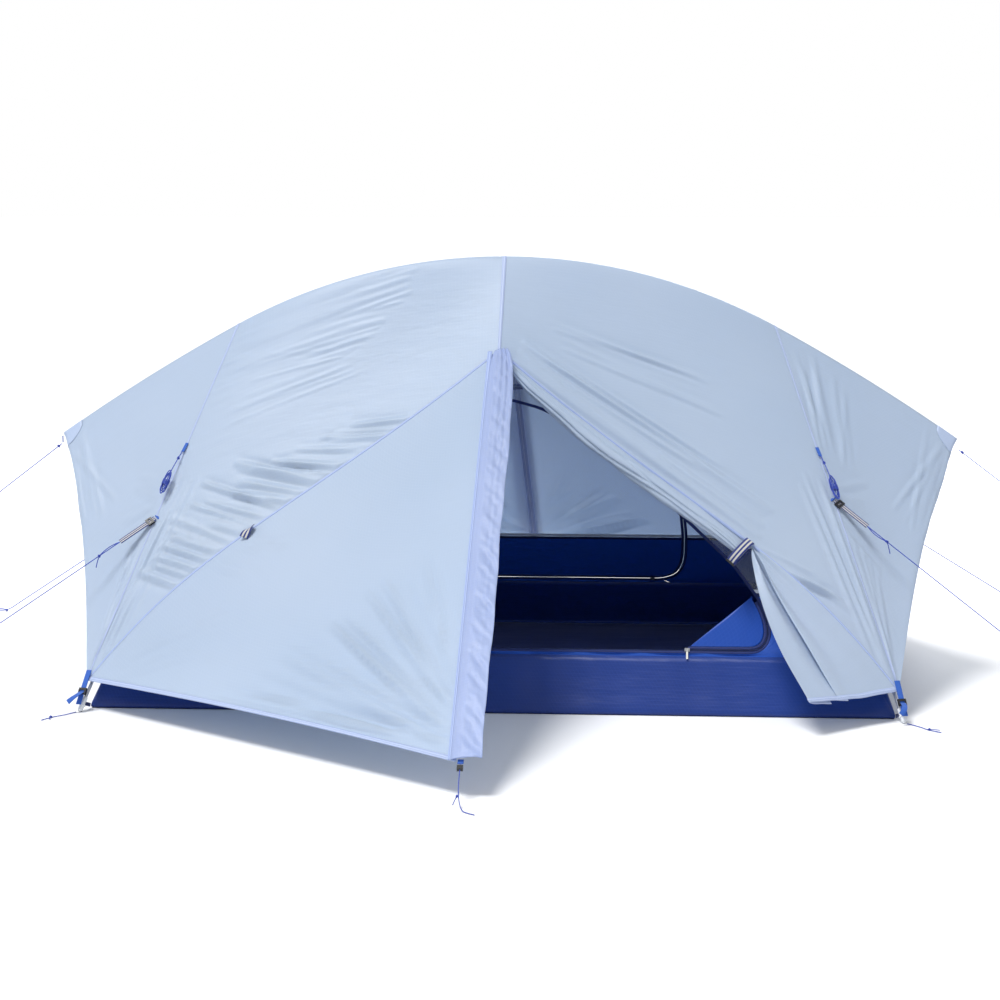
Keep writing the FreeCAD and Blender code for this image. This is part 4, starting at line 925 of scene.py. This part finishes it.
edges = np.array([(-1, LOW), (1, LOW), (1, inner_ridge[2]), (-1, inner_ridge[2])])
wall_half = floor_x + (inner_ridge[0] - floor_x) * edges[:, 1] / inner_ridge[2]
edges = edges * np.stack([wall_half, np.ones(4)], -1)
hole = offset_loop(door_loop, 0.0083)
centre = hole.mean(0)
ray = hole - centre
far = np.full(len(ray), np.inf)
for a, b in zip(edges, np.roll(edges, -1, axis=0)):
    n = np.array([b[1] - a[1], a[0] - b[0]])
    fall = ray @ n
    reach = np.where(fall > 1e-9, ((a - centre) @ n) / np.where(fall > 1e-9, fall, 1), np.inf)
    far = np.minimum(far, reach)
outer = centre + ray * far[:, None]
for corner in edges:
    nearest = np.argmin(np.linalg.norm(outer - corner, axis=1))
    outer[nearest] = corner
outer[-1] = outer[0]
spread = np.linspace(0, 1, 26)[:, None, None]
annulus = hole[None] * (1 - spread) + outer[None] * spread
closed_part = offset_loop(door_loop, -0.0083)
disc = closed_part.mean(0) * (1 - spread) + closed_part[None] * spread
for sy, end in ((FRONT, "front"), (REAR, "rear")):
    sway = 0.004 * np.sin(spread[..., 0] * np.pi) * np.sin(np.linspace(0, 60, annulus.shape[1]))[None]
    wall_grid = wall_point(sy, annulus) - np.array([0, sy, 0.5]) * np.abs(sway)[..., None]
    wall = grid_object("inner_wall_cloth_" + end, [facing(wall_grid, centre_of_tent)], wall_cloth)
    cloth_piece(wall, "inner_%s_wall" % end)
door_grid = wall_point(REAR, disc)
door_sheet = grid_object("inner_rear_door_cloth", [facing(door_grid, centre_of_tent)], wall_cloth)
cloth_piece(door_sheet, "inner_rear_door")

for side, sx in (("left", LEFT), ("right", RIGHT)):
    share = np.linspace(LOW / inner_hub[2], 1, 60)[:, None]
    peak = mirrored(inner_hub, sx, 1)
    front_edge = np.array([sx * floor_x, -floor_y, 0]) * (1 - share) + peak * share
    rear_edge = front_edge * (1, -1, 1)
    across = np.linspace(0, 1, 50)[None, :, None]
    end_grid = front_edge[:, None] * (1 - across) + rear_edge[:, None] * across
    end_grid[..., 0] -= sx * 0.018 * np.sin(np.pi * across[..., 0]) * np.sin(np.pi * share)
    pieces = [facing(end_grid, centre_of_tent)]
    for sy in (FRONT, REAR):
        top = mirrored(inner_ridge, sx, 1)
        start = np.array([sx * floor_x, sy * floor_y, 0])
        low_wall = start + (top - start) * LOW / inner_ridge[2]
        low_end = start + (peak - start) * LOW / inner_hub[2]
        share_wall = np.linspace(0, 1, 60)[:, None]
        wall_side = low_wall + (top - low_wall) * share_wall
        end_side = low_end + (peak - low_end) * share_wall
        across_hip = np.linspace(0, 1, 14)[None, :, None]
        pieces.append(facing(wall_side[:, None] * (1 - across_hip) + end_side[:, None] * across_hip,
                             centre_of_tent))
    end_wall = grid_object("inner_end_cloth_" + side, pieces, wall_cloth)
    cloth_piece(end_wall, "inner_end_" + side)

# The front door is unzipped to its lower right corner; the rest has dropped inside behind the sill.
STILL_FROM, STILL_HIGH = 0.505 * door_scale, SILL + 0.12
fold_low = np.array([STILL_FROM + 0.008, SILL + 0.009])
fold_high = np.array([0.672 * door_scale, SILL + 0.128])
inside = offset_loop(door_loop, -0.010)
right = inside[(inside[:, 0] > fold_low[0]) & (inside[:, 1] < fold_high[1] + 0.004)]
right = right[np.argsort(np.arctan2(right[:, 1] - fold_high[1], right[:, 0] - fold_low[0]))]
right = np.vstack([[fold_low], right, [fold_high]])
right = resampled(np.column_stack([right, np.zeros(len(right))]), 60)[:, :2]
left = line(fold_low, fold_high, 60)
across = np.linspace(0, 1, 22)[None, :, None]
flap_flat = left[:, None] * (1 - across) + right[:, None] * across
flap_grid = wall_point(FRONT, flap_flat)
flap_blue = ripstop_cloth("inner_band_nylon", (0.006, 0.080, 0.48), (0.005, 0.062, 0.40), (0.02, 0.11, 0.54),
                          0.25, rough=0.4, crinkle=0.002)
corner_flap = grid_object("inner_front_door_corner", [facing(flap_grid, centre_of_tent)], flap_blue, 0.0006)
cloth_piece(corner_flap, "inner_front_door")
fold_edge = wall_point(FRONT, line(fold_low, fold_high, 60), -0.003)
low_edge = line(np.array([0.40, -floor_y + 0.112, 0.060]), np.array([0.66, -floor_y + 0.112, 0.060]), 60)
t = np.linspace(0, 1, 40)[:, None, None]
hang = fold_edge[None] * (1 - t) + low_edge[None] * t
hang[..., 1] += 0.012 * np.sin(np.linspace(0, 22, 60))[None] * np.sin(np.pi * t[..., 0] * 0.6)
hang[..., 2] -= 0.020 * np.sin(np.pi * t[..., 0])
hanging = grid_object("inner_front_door_hanging", [facing(hang, (0.5, 0, 0))], flap_blue, 0.0006)
cloth_piece(hanging, "inner_front_door")
u = np.linspace(0, 1, 120)[:, None]
v = np.linspace(0, 2 * np.pi, 60)[None, :]
fat = 0.026 * np.sin(np.pi * u) ** 0.25 * (1 + 0.10 * np.sin(3 * v + 14 * u) + 0.07 * np.sin(7 * v - 31 * u)
                                           + 0.05 * np.sin(40 * u))
fat = np.minimum(fat, 0.030)
heap = np.stack([0.29 * door_scale + 0.39 * door_scale * u + 0 * v, -floor_y + 0.138 + fat * np.cos(v),
                 0.034 + fat * np.sin(v) * 0.95], -1)
bunch = grid_object("inner_front_door_bunch", [facing(heap, heap.mean((0, 1)))], flap_blue, 0.0006)
cloth_piece(bunch, "inner_front_door")

# ------------------------------------------------------------------ zips
# Coil zips: a woven tape on each side, with a row of nylon coil along its inner edge. The tapes of the
# inner doors go round the D, those of the vestibules run straight up from the corner.
def zip_finish(name, base, ridge, pitch, rough):
    """Zip cloth or coil: two tones in fine steps along its length."""
    made, tree, out = material(name)
    uv = node(tree, "UVMap", uv_map="cloth")
    split = node(tree, "SeparateXYZ", links={"Vector": uv.outputs[0]})
    steps = node(tree, "Math", {1: pitch}, {0: split.outputs["Y"]}, operation="DIVIDE")
    wave = node(tree, "Math", {1: 1.0}, {0: steps.outputs[0]}, operation="PINGPONG")
    colour = node(tree, "Mix", {"A": (*base, 1), "B": (*ridge, 1)}, {"Factor": wave.outputs[0]},
                  data_type="RGBA")
    tall = node(tree, "Math", {1: pitch * 0.5}, {0: wave.outputs[0]}, operation="MULTIPLY")
    bump = node(tree, "Bump", {"Strength": 0.7, "Distance": 1.0}, {"Height": tall.outputs[0]})
    shell = node(tree, "BsdfPrincipled", {"Roughness": rough},
                 {"Base Color": colour.outputs["Result"], "Normal": bump.outputs[0]})
    tree.links.new(shell.outputs[0], out.inputs["Surface"])
    return made


zip_navy = zip_finish("inner_zip_tape", (0.010, 0.022, 0.13), (0.02, 0.04, 0.19), 0.0008, 0.7)
coil_navy = zip_finish("inner_zip_coil", (0.008, 0.015, 0.08), (0.02, 0.04, 0.16), 0.0007, 0.7)
zip_lilac = zip_finish("fly_zip_tape", (0.20, 0.27, 0.52), (0.26, 0.33, 0.58), 0.0008, 0.7)
coil_lilac = zip_finish("fly_zip_coil", (0.09, 0.12, 0.30), (0.28, 0.34, 0.56), 0.0007, 0.4)
ZIP_GAP, TAPE = 0.0005, 0.0085


def zip_side(name, node_name, inner_line, outer_line, out, cloth, coil):
    """One tape from its outer line to 2 mm from its inner line, and the coil over the rest."""
    edge = inner_line + (outer_line - inner_line) * 0.26
    tape_grid = np.stack([outer_line, (outer_line + edge) / 2, edge], axis=1)
    bead = inner_line + (outer_line - inner_line) * 0.14
    coil_grid = np.stack([edge, bead + out * 0.0012, inner_line], axis=1)
    for part, grid, finish in (("tape", tape_grid, cloth), ("coil", coil_grid, coil)):
        made = grid_object("%s_%s" % (name, part), [facing(grid, centre_of_tent)], finish, 0.0008)
        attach(made, "tent")
        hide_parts(node_name)


out_front = np.array([0, -inner_ridge[2], floor_y]) / wall_slope
for sy, end in ((FRONT, "front"), (REAR, "rear")):
    near = wall_point(sy, offset_loop(door_loop, ZIP_GAP))
    beyond = wall_point(sy, offset_loop(door_loop, ZIP_GAP + TAPE))
    out = out_front * (1, -sy, 1)
    zip_side("inner_zip_frame_" + end, "inner_%s_zip" % end, near, beyond, out, zip_navy, coil_navy)
    near, beyond = offset_loop(door_loop, -ZIP_GAP), offset_loop(door_loop, -ZIP_GAP - TAPE)
    if sy == FRONT:
        order = np.roll(np.arange(len(near) - 1), -(len(near) // 2))
        near, beyond = near[order], beyond[order]
        still = (near[:, 0] > STILL_FROM) & (near[:, 1] < STILL_HIGH)
        near, beyond = near[still], beyond[still]
    zip_side("inner_zip_door_" + end, "inner_%s_zip" % end, wall_point(sy, near), wall_point(sy, beyond),
             out, zip_navy, coil_navy)
for sy, end, sides in ((FRONT, "front", (-1,)), (REAR, "rear", (-1, 1))):
    down = np.linspace(-0.010, -zip_run + 0.012, 120)
    out = unit(zip_point(sy, 0, 0, 1) - zip_point(sy, 0, 0, 0)).reshape(3)
    for side in sides:
        near = zip_point(sy, side * ZIP_GAP, down, 0)
        beyond = zip_point(sy, side * (ZIP_GAP + TAPE), down, 0)
        zip_side("fly_zip_%s_%d" % (end, side + 1), "fly_%s_zip" % end, near, beyond, out, zip_lilac,
                 coil_lilac)

# ------------------------------------------------------------------ webbing
# Woven straps: blue ones pull the fly's corners to the pole feet, striped ones take the guylines, and
# narrow ones tie the floor's corners to the feet.


def woven(name, base, thread, stripe=None, stripe_wide=0.003):
    """Woven webbing: fine ribs across it, with pale stripes along it where a stripe colour is given."""
    made, tree, out = material(name)
    uv = node(tree, "UVMap", uv_map="cloth")
    split = node(tree, "SeparateXYZ", links={"Vector": uv.outputs[0]})
    steps = node(tree, "Math", {1: 0.0007}, {0: split.outputs["Y"]}, operation="DIVIDE")
    ribs = node(tree, "Math", {1: 1.0}, {0: steps.outputs[0]}, operation="PINGPONG")
    ground = node(tree, "Mix", {"A": (*base, 1), "B": (*thread, 1)}, {"Factor": ribs.outputs[0]},
                  data_type="RGBA")
    colour = ground.outputs["Result"]
    if stripe:
        lanes = node(tree, "Math", {1: stripe_wide}, {0: split.outputs["X"]}, operation="DIVIDE")
        lane = node(tree, "Math", {1: 2.0}, {0: lanes.outputs[0]}, operation="MODULO")
        pale = node(tree, "Math", {1: 1.0}, {0: lane.outputs[0]}, operation="GREATER_THAN")
        striped = node(tree, "Mix", {"B": (*stripe, 1)}, {"Factor": pale.outputs[0], "A": colour},
                       data_type="RGBA")
        colour = striped.outputs["Result"]
    tall = node(tree, "Math", {1: 0.0003}, {0: ribs.outputs[0]}, operation="MULTIPLY")
    bump = node(tree, "Bump", {"Strength": 0.8, "Distance": 1.0}, {"Height": tall.outputs[0]})
    shell = node(tree, "BsdfPrincipled", {"Roughness": 0.75, "Sheen Weight": 0.2},
                 {"Base Color": colour, "Normal": bump.outputs[0]})
    tree.links.new(shell.outputs[0], out.inputs["Surface"])
    return made


CREAM = (0.56, 0.55, 0.50)
blue_webbing = woven("blue_webbing", (0.010, 0.080, 0.42), (0.02, 0.12, 0.52))
navy_webbing = woven("navy_webbing", (0.010, 0.022, 0.12), (0.018, 0.035, 0.17))
striped_webbing = woven("striped_webbing", (0.012, 0.028, 0.17), (0.02, 0.04, 0.22), CREAM, 0.003)
wide_striped = woven("wide_striped_webbing", (0.012, 0.028, 0.17), (0.02, 0.04, 0.22), CREAM, 0.0048)


def strap(name, path, across, wide, thick, finish, node_name=None, away=None):
    """Flat strap along a path: its width lies along across, its outer face looks away from a point."""
    path = np.asarray(path, float)
    way = unit(np.gradient(path, axis=0))
    across = unit(np.broadcast_to(across, path.shape) - (way * across).sum(-1, keepdims=True) * way)
    face = unit(np.cross(across, way))
    away = centre_of_tent if away is None else np.asarray(away, float)
    face = face * np.sign(((path - away) * face).sum())
    spread = np.linspace(-0.5, 0.5, 9)
    crown = 0.0002 * (1 - (2 * spread) ** 4)
    grid = (path[:, None] + across[:, None] * (spread * wide)[None, :, None]
            + face[:, None] * (crown + thick / 2)[None, :, None])
    made = grid_object(name, [facing(grid, away)], finish, thick)
    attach(made, "tent")
    if node_name:
        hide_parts(node_name)
    return made


QUARTERS = (("front_left", -1, -1), ("front_right", 1, -1), ("rear_left", -1, 1), ("rear_right", 1, 1))


def out_of(a, b, c, guide):
    """Unit normal of three points, on the guide's side."""
    n = unit(np.cross(b - a, c - a))
    return n if n @ np.asarray(guide, float) > 0 else -n


corner_out, leg_down, pole_foot, leg_way = {}, {}, {}, {}
for where, sx, sy in QUARTERS:
    top, low, peak, end = (mirrored(p, sx, sy) for p in (fly_hub, fly_foot, fly_peak, fly_tip))
    body_side = out_of(peak, top, low, (0, sy, 1))
    end_side = out_of(low, top, end, (sx, sy, 1))
    corner_out[where] = unit(body_side + end_side)
    leg_down[where] = unit(low - top)
    pole_foot[where] = np.array([sx * half_length, sy * half_width, TIP_RADIUS])
    leg_way[where] = unit(pole_foot[where] - mirrored(hub, sx, sy))
    out, down = corner_out[where], leg_down[where]
    start = low - down * 0.026 + out * 0.007
    goal = pole_foot[where] + out * 0.016 - leg_way[where] * 0.006
    way = unit(goal - start)
    wide = unit(np.cross(way, out))
    strap("corner_strap_" + where, line(start, goal, 40), wide, 0.015, 0.0012, blue_webbing,
          "corner_straps")
    # The strap's spare end turns up out of the lock and curls away.
    lock = start + (goal - start) * 0.62
    curl = np.linspace(0, 1, 30)[:, None]
    tail = (lock + way * (0.004 + 0.038 * curl) + out * (0.004 + 0.016 * np.sin(curl * 1.9))
            + wide * 0.02 * curl ** 2)
    strap("corner_strap_tail_" + where, tail, wide, 0.014, 0.0011, blue_webbing,
          "corner_straps")
    a = np.array([sx * (floor_x - 0.003), sy * (floor_y - 0.003), 0.009])
    b = pole_foot[where] - leg_way[where] * 0.018
    b = b - unit(b - a) * 0.011
    strap("floor_strap_" + where, line(a, b, 20), (0, 0, 1), 0.010, 0.0012, navy_webbing,
          "floor_straps")


def leg_seam_point(where, share):
    """Point on a leg seam at that share of the fly's height."""
    sx, sy = {name: (x, y) for name, x, y in QUARTERS}[where]
    low, top = mirrored(fly_foot, sx, sy), mirrored(fly_hub, sx, sy)
    return low + (top - low) * (share * fly_apex[2] - low[2]) / (top[2] - low[2])


# ------------------------------------------------------------------ guylines and peg cords
# Braided cord: four long guylines from the leg seams, each with a loop for its peg, one from each ridge
# tip, short spare cords tied up in hanks, and thin loops that the corner pegs hold.


def braid(name, base, fleck):
    """Braided cord: small flecks of a second shade, slanting round it."""
    made, tree, out = material(name)
    place = node(tree, "TexCoord")
    flecks = node(tree, "TexVoronoi", {"Scale": 700.0}, {"Vector": place.outputs["Object"]})
    part = node(tree, "Math", {1: 0.42}, {0: flecks.outputs["Distance"]}, operation="LESS_THAN")
    colour = node(tree, "Mix", {"A": (*fleck, 1), "B": (*base, 1)}, {"Factor": part.outputs[0]},
                  data_type="RGBA")
    tall = node(tree, "Math", {1: -0.0004}, {0: flecks.outputs["Distance"]}, operation="MULTIPLY")
    bump = node(tree, "Bump", {"Strength": 0.8, "Distance": 1.0}, {"Height": tall.outputs[0]})
    shell = node(tree, "BsdfPrincipled", {"Roughness": 0.7},
                 {"Base Color": colour.outputs["Result"], "Normal": bump.outputs[0]})
    tree.links.new(shell.outputs[0], out.inputs["Surface"])
    return made


cord_blue = braid("braided_cord", (0.020, 0.045, 0.34), (0.05, 0.09, 0.46))
CORD, THIN = 0.00125, 0.0011
Z_UP = np.array([0, 0, 1.0])


def cord_object(name, points, radius, node_name):
    """Cord along its control points, as one smooth line that starts and ends at the outer two."""
    curve = bpy.data.curves.new(name, "CURVE")
    curve.dimensions = "3D"
    curve.bevel_depth = radius
    curve.bevel_resolution = 3
    curve.use_fill_caps = True
    curve.resolution_u = 10
    spline = curve.splines.new("NURBS")
    spline.points.add(len(points) - 1)
    for control, point in zip(spline.points, points):
        control.co = (*point, 1)
    spline.order_u = 3
    spline.use_endpoint_u = True
    curve.materials.append(cord_blue)
    made = bpy.data.objects.new(name, curve)
    scene.collection.objects.link(made)
    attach(made, "tent")
    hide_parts(node_name)
    return made


def bar(name, path, radius, finish, closed=False, sides=8):
    """Round bar along a path; its ring follows the path's own frame, and open ends are capped."""
    path = np.asarray(path, float)
    if closed:
        way = unit(np.roll(path, -1, axis=0) - np.roll(path, 1, axis=0))
        path, way = np.vstack([path, path[:1]]), np.vstack([way, way[:1]])
    else:
        way = unit(np.gradient(path, axis=0))
    side = np.zeros_like(path)
    side[0] = unit(np.cross(way[0], (0.31, 0.52, 0.79)))
    for i in range(1, len(path)):
        side[i] = unit(side[i - 1] - way[i] * (side[i - 1] @ way[i]))
    other = np.cross(way, side)
    turn = np.linspace(0, 2 * np.pi, sides + 1)
    ring = side[:, None] * np.cos(turn)[None, :, None] + other[:, None] * np.sin(turn)[None, :, None]
    grid = path[:, None] + ring * radius
    if not closed:
        caps = [np.broadcast_to(p, (1, sides + 1, 3)) for p in (path[0], path[-1])]
        grid = np.concatenate([caps[0], grid, caps[1]])
    made = grid_object(name, [grid[:, ::-1]], finish, weld=0.00002)
    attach(made, "tent")
    return made


def knot(name, centre, way, radius):
    """Overhand knot: a trefoil of the cord itself, three cords across, with its axis along the cord."""
    t = np.linspace(0, 2 * np.pi, 48, endpoint=False)
    shape = np.stack([np.sin(t) + 2 * np.sin(2 * t), np.cos(t) - 2 * np.cos(2 * t), -1.6 * np.sin(3 * t)],
                     -1)
    way = unit(np.asarray(way, float))
    side = unit(np.cross(way, (0.2, 0.9, 0.35)))
    axes = np.stack([side, way, np.cross(side, way)])
    return bar(name, centre + shape * radius * 0.95 @ axes, radius, cord_blue, closed=True,
               sides=7)


def tail(name, start, way, fall, length, radius):
    """Free end of a cord below its knot, bending as it goes."""
    t = np.linspace(0, 1, 12)[:, None]
    return bar(name, start + unit(np.asarray(way, float)) * length * t
               + np.asarray(fall, float) * length * t ** 2,
               radius, cord_blue)


LOWER_GUY = {"front_left": 0.402, "front_right": 0.452, "rear_left": 0.402, "rear_right": 0.402}
UPPER_GUY = 0.556
STRAP_RUN = 0.112
PEG_LOOP = ((40, 17), (82, 12), (84, -13), (42, -17), (8, -9))
RIDGE_LOOP = ((34, 15), (74, 11), (76, -12), (38, -15), (8, -9))
for where, sx, sy in QUARTERS:
    out, down = corner_out[where], leg_down[where]
    peg = np.array([sx * (half_length + 0.537), sy * (half_width + 0.034), 0.0035])
    start = leg_seam_point(where, LOWER_GUY[where]) + out * 0.003
    way = unit(peg - start)
    wide = unit(np.cross(way, out))
    strap("guy_strap_" + where, line(start, start + way * STRAP_RUN, 50), wide, 0.015, 0.0012,
          striped_webbing, "guy_straps")
    patch_path = line(start - out * 0.001 - way * 0.004, start - way * 0.018 - out * 0.004, 8)
    strap("guy_strap_root_" + where, patch_path, wide, 0.017, 0.0012, blue_webbing,
          "guy_straps")
    cord_start = start + way * (STRAP_RUN + 0.0004)
    bend = cord_start * 0.07 + peg * 0.93 + Z_UP * 0.001
    flat = unit(np.array([way[0], way[1], 0]))
    side = np.cross(Z_UP, flat)
    ground = np.array([peg[0], peg[1], 0.0032])
    points = [cord_start, bend, ground] + [ground + flat * a / 1000 + side * b / 1000 for a, b in PEG_LOOP]
    guyline = cord_object("guyline_" + where, points, CORD, "guylines")
    along = cord_start + way * 0.066
    loop_t = np.linspace(0, 1, 24)[:, None]
    bow = wide * 0.006 * np.sin(np.pi * loop_t)
    pieces = [knot("guy_knot_" + where, along, way, CORD),
              bar("guy_cord_pair_" + where, cord_start * (1 - loop_t) + along * loop_t + bow, CORD,
                  cord_blue),
              tail("guy_tail_" + where, along, way * 0.4 - Z_UP * 0.5, (0, 0, -0.5), 0.022, CORD),
              knot("guy_end_knot_" + where, ground + flat * 0.004, flat, CORD)]

    high = leg_seam_point(where, UPPER_GUY)
    tab_way = unit(down + out * 0.12)
    tab_start = high + out * 0.0022 - down * 0.014
    strap("guy_tab_" + where, line(tab_start, tab_start + tab_way * 0.030, 16), np.cross(down, out), 0.009,
          0.0012, blue_webbing, "guy_tabs")
    hang_line = [high + out * a / 1000 + down * b / 1000
                 for a, b in ((8, 17), (15, 52), (21, 96), (22, 138))]
    spare = cord_object("spare_cord_" + where, hang_line, CORD, "spare_cords")
    # The hank: four long loops of spare cord, with a few turns round their middle.
    t = np.linspace(0, 2 * np.pi, 40, endpoint=False)[:, None]
    middle = high + out * 0.022 + down * 0.122
    wide = unit(np.cross(down, out))
    for i, (lean, stretch) in enumerate(((-0.10, 0.030), (0.05, 0.033), (0.16, 0.028), (-0.02, 0.036))):
        loop_way = unit(down + wide * lean)
        bar("hank_loop_%s_%d" % (where, i),
                        middle + out * (0.0014 * (i - 1.5)) + loop_way * stretch * np.cos(t)
                        + np.cross(loop_way, out) * 0.0075 * np.sin(t), CORD, cord_blue,
                        closed=True, sides=6)
    t = np.linspace(0, 5 * 2 * np.pi, 90)[:, None]
    bar("hank_wrap_" + where, middle + down * (-0.008 + 0.016 * t / (10 * np.pi))
                    + out * 0.0062 * np.cos(t)
                    + wide * 0.0098 * np.sin(t), CORD, cord_blue, sides=6)
    knot("spare_knot_" + where, high + out * 0.0125 + down * 0.040, down, CORD)
    tuple(hang_line[0])

    away = unit(np.array([sx * 76, sy * 100, 0.0]))
    beside = np.cross(Z_UP, away)
    base = np.array([pole_foot[where][0], pole_foot[where][1], THIN + 0.0006])
    points = [base + away * a / 1000 + beside * b / 1000 for a, b in ((14, 0), (52, 5), (96, -3), (132, 6))]
    foot_cord = cord_object("foot_cord_" + where, points, THIN, "stake_cords")
    at = base + away * 0.096 - beside * 0.001 + Z_UP * 0.002
    pieces = [knot("foot_knot_" + where, at, away, THIN),
              tail("foot_tail_" + where, at, away + beside * 0.9, (0, 0, -0.02), 0.026, THIN)]
    tuple(points[0])

for side_name, sx in (("left", LEFT), ("right", RIGHT)):
    way = unit(np.array([sx, 0, -0.76]))
    side = np.array([0, 1.0, 0])
    start = np.array([sx * (fly_tip[0] + 0.005), 0, fly_tip[2] - 0.030])
    knot_at = start + way * 0.232
    points = [start, knot_at] + [knot_at + way * a / 1000 + side * b / 1000 for a, b in RIDGE_LOOP]
    ridge_cord = cord_object("ridge_line_" + side_name, points, CORD, "guylines")
    pieces = [knot("ridge_knot_" + side_name, start + way * 0.012, way, CORD),
              knot("ridge_end_knot_" + side_name, knot_at, way, CORD)]
    tab_top = start - way * 0.003 + Z_UP * 0.020
    strap("ridge_tab_" + side_name, line(tab_top, tab_top - Z_UP * 0.019, 12), (0, 1, 0), 0.010, 0.0012,
          blue_webbing, "guy_tabs")

for sy, end in ((FRONT, "front"), (REAR, "rear")):
    across_x = -sy
    top = mirrored(fly_corner, 1, sy) + (0, sy * 0.007, -0.004)
    peg = np.array([across_x * 0.028, sy * (fly_corner[1] + 0.150), THIN + 0.0006])
    way = unit(np.array([0, peg[1], peg[2]]) - top)
    points = [top, top + way * 0.086, np.array([across_x * 0.010, peg[1] - sy * 0.022, THIN + 0.0012]), peg,
              peg + (across_x * 0.016, sy * 0.012, 0)]
    corner_cord = cord_object("corner_cord_" + end, points, THIN, "stake_cords")
    at = top + way * 0.100 - Z_UP * 0.004
    pieces = [knot("corner_knot_" + end, at, way, THIN),
              tail("corner_tail_" + end, at, way * 0.3 - Z_UP * 0.3 - (0.3, 0, 0), (0, 0, -0.3), 0.018,
                   THIN)]
    tuple(top)
    tab_top = top - way * 0.016
    strap("corner_tab_" + end, line(tab_top, tab_top + way * 0.014, 10), (1, 0, 0), 0.014, 0.0012,
          blue_webbing, "guy_tabs")

# ------------------------------------------------------------------ tie-backs
# A striped loop and a toggle hold the rolled door. Each closed door has the same strap, hanging unused.
toggle_box = np.array([list(corner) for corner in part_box("tieback_toggle")])
toggle_middle = toggle_box.mean(0)
seam_tie = seam_at(np.array([TIE_SHARE]))[0]
short_of = toggle_middle - unit(toggle_middle - seam_tie) * 0.0048
loop_middle = (seam_tie + short_of) / 2
long_way = (short_of - seam_tie) / 2
t = np.linspace(0, 2 * np.pi, 61)[:, None]
band_path = loop_middle + long_way * np.cos(t) + door_out * 0.019 * np.sin(t)
strap("tie_loop_front_right", band_path, seam_way, 0.024, 0.0014, wide_striped,
      "tieback_bands",
      away=loop_middle)
for sx, sy, where in ((-1, -1, "front_left"), (-1, 1, "rear_left"), (1, 1, "rear_right")):
    peak, low, corner = (mirrored(p, sx, sy) for p in (fly_peak, fly_foot, fly_corner))
    n = out_of(peak, low, corner, (0, sy, 1))
    seam_line = mirrored(door_seam(200), sx, sy)
    at = seam_line[115] + n * 0.006
    down = unit(-Z_UP + n * n[2])
    t = np.linspace(0, 1, 24)[:, None]
    strap("tie_tab_" + where, at + down * (0.002 + 0.042 * t) + n * 0.004 * np.sin(np.pi * t),
          unit(low - peak), 0.024, 0.0014, wide_striped, "tieback_bands")

# ------------------------------------------------------------------ poles and fittings
# Anodised aluminium poles with machined ferrules and hubs, clear plastic foot tips, and moulded locks.


def solid_finish(name, light, deep, rough, metal=0.0, coat=0.0, grain=90.0, dents=0.0002):
    """Moulded or metal surface: two close tones in soft clouds and a fine grain."""
    made, tree, out = material(name)
    place = node(tree, "TexCoord")
    cloud = node(tree, "TexNoise", {"Scale": grain, "Detail": 3.0}, {"Vector": place.outputs["Object"]})
    colour = node(tree, "Mix", {"A": (*deep, 1), "B": (*light, 1)}, {"Factor": cloud.outputs["Fac"]},
                  data_type="RGBA")
    tall = node(tree, "Math", {1: dents}, {0: cloud.outputs["Fac"]}, operation="MULTIPLY")
    bump = node(tree, "Bump", {"Strength": 0.4, "Distance": 1.0}, {"Height": tall.outputs[0]})
    shell = node(tree, "BsdfPrincipled", {"Roughness": rough, "Metallic": metal, "Coat Weight": coat},
                 {"Base Color": colour.outputs["Result"], "Normal": bump.outputs[0]})
    tree.links.new(shell.outputs[0], out.inputs["Surface"])
    return made


alloy = solid_finish("anodised_alloy", (0.70, 0.71, 0.73), (0.62, 0.63, 0.66), 0.28, metal=0.9)
ferrule_alloy = solid_finish("ferrule_alloy", (0.48, 0.50, 0.54), (0.42, 0.44, 0.48), 0.24, metal=0.9)
clear_tip = solid_finish("frosted_plastic", (0.86, 0.88, 0.90), (0.76, 0.79, 0.82), 0.25, coat=0.4)
black = solid_finish("black_plastic", (0.020, 0.021, 0.024), (0.012, 0.013, 0.015), 0.42)
grey_metal = solid_finish("slider_alloy", (0.50, 0.51, 0.54), (0.40, 0.41, 0.44), 0.3, metal=0.8)
cream_tab = solid_finish("cream_pull", (0.82, 0.80, 0.72), (0.74, 0.72, 0.63), 0.6)
elastic = solid_finish("elastic_cord", (0.80, 0.80, 0.80), (0.20, 0.22, 0.26), 0.8, grain=600.0)
clip_plastic = solid_finish("clip_plastic", (0.10, 0.12, 0.17), (0.06, 0.07, 0.11), 0.45)
FINISHES = {"ridge_pole_centre": alloy, "ridge_pole_ends": alloy, "leg_poles": alloy,
            "pole_ferrules": ferrule_alloy,
            "pole_hubs": ferrule_alloy, "ridge_end_caps": black, "pole_foot_tips": clear_tip,
            "shock_cords": elastic, "pole_clips": clip_plastic, "tieback_toggle": black}
for end in ("front", "rear"):
    FINISHES["line_lock_" + end] = black
    for layer in ("inner", "fly"):
        FINISHES["%s_%s_slider" % (layer, end)] = grey_metal
        FINISHES["%s_%s_pull" % (layer, end)] = cream_tab
for where, _, _ in QUARTERS:
    FINISHES["ladder_lock_" + where] = black
    FINISHES["guy_adjuster_" + where] = black
for name, finish in FINISHES.items():
    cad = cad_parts[name].data
    cad.materials.clear()
    cad.materials.append(finish)
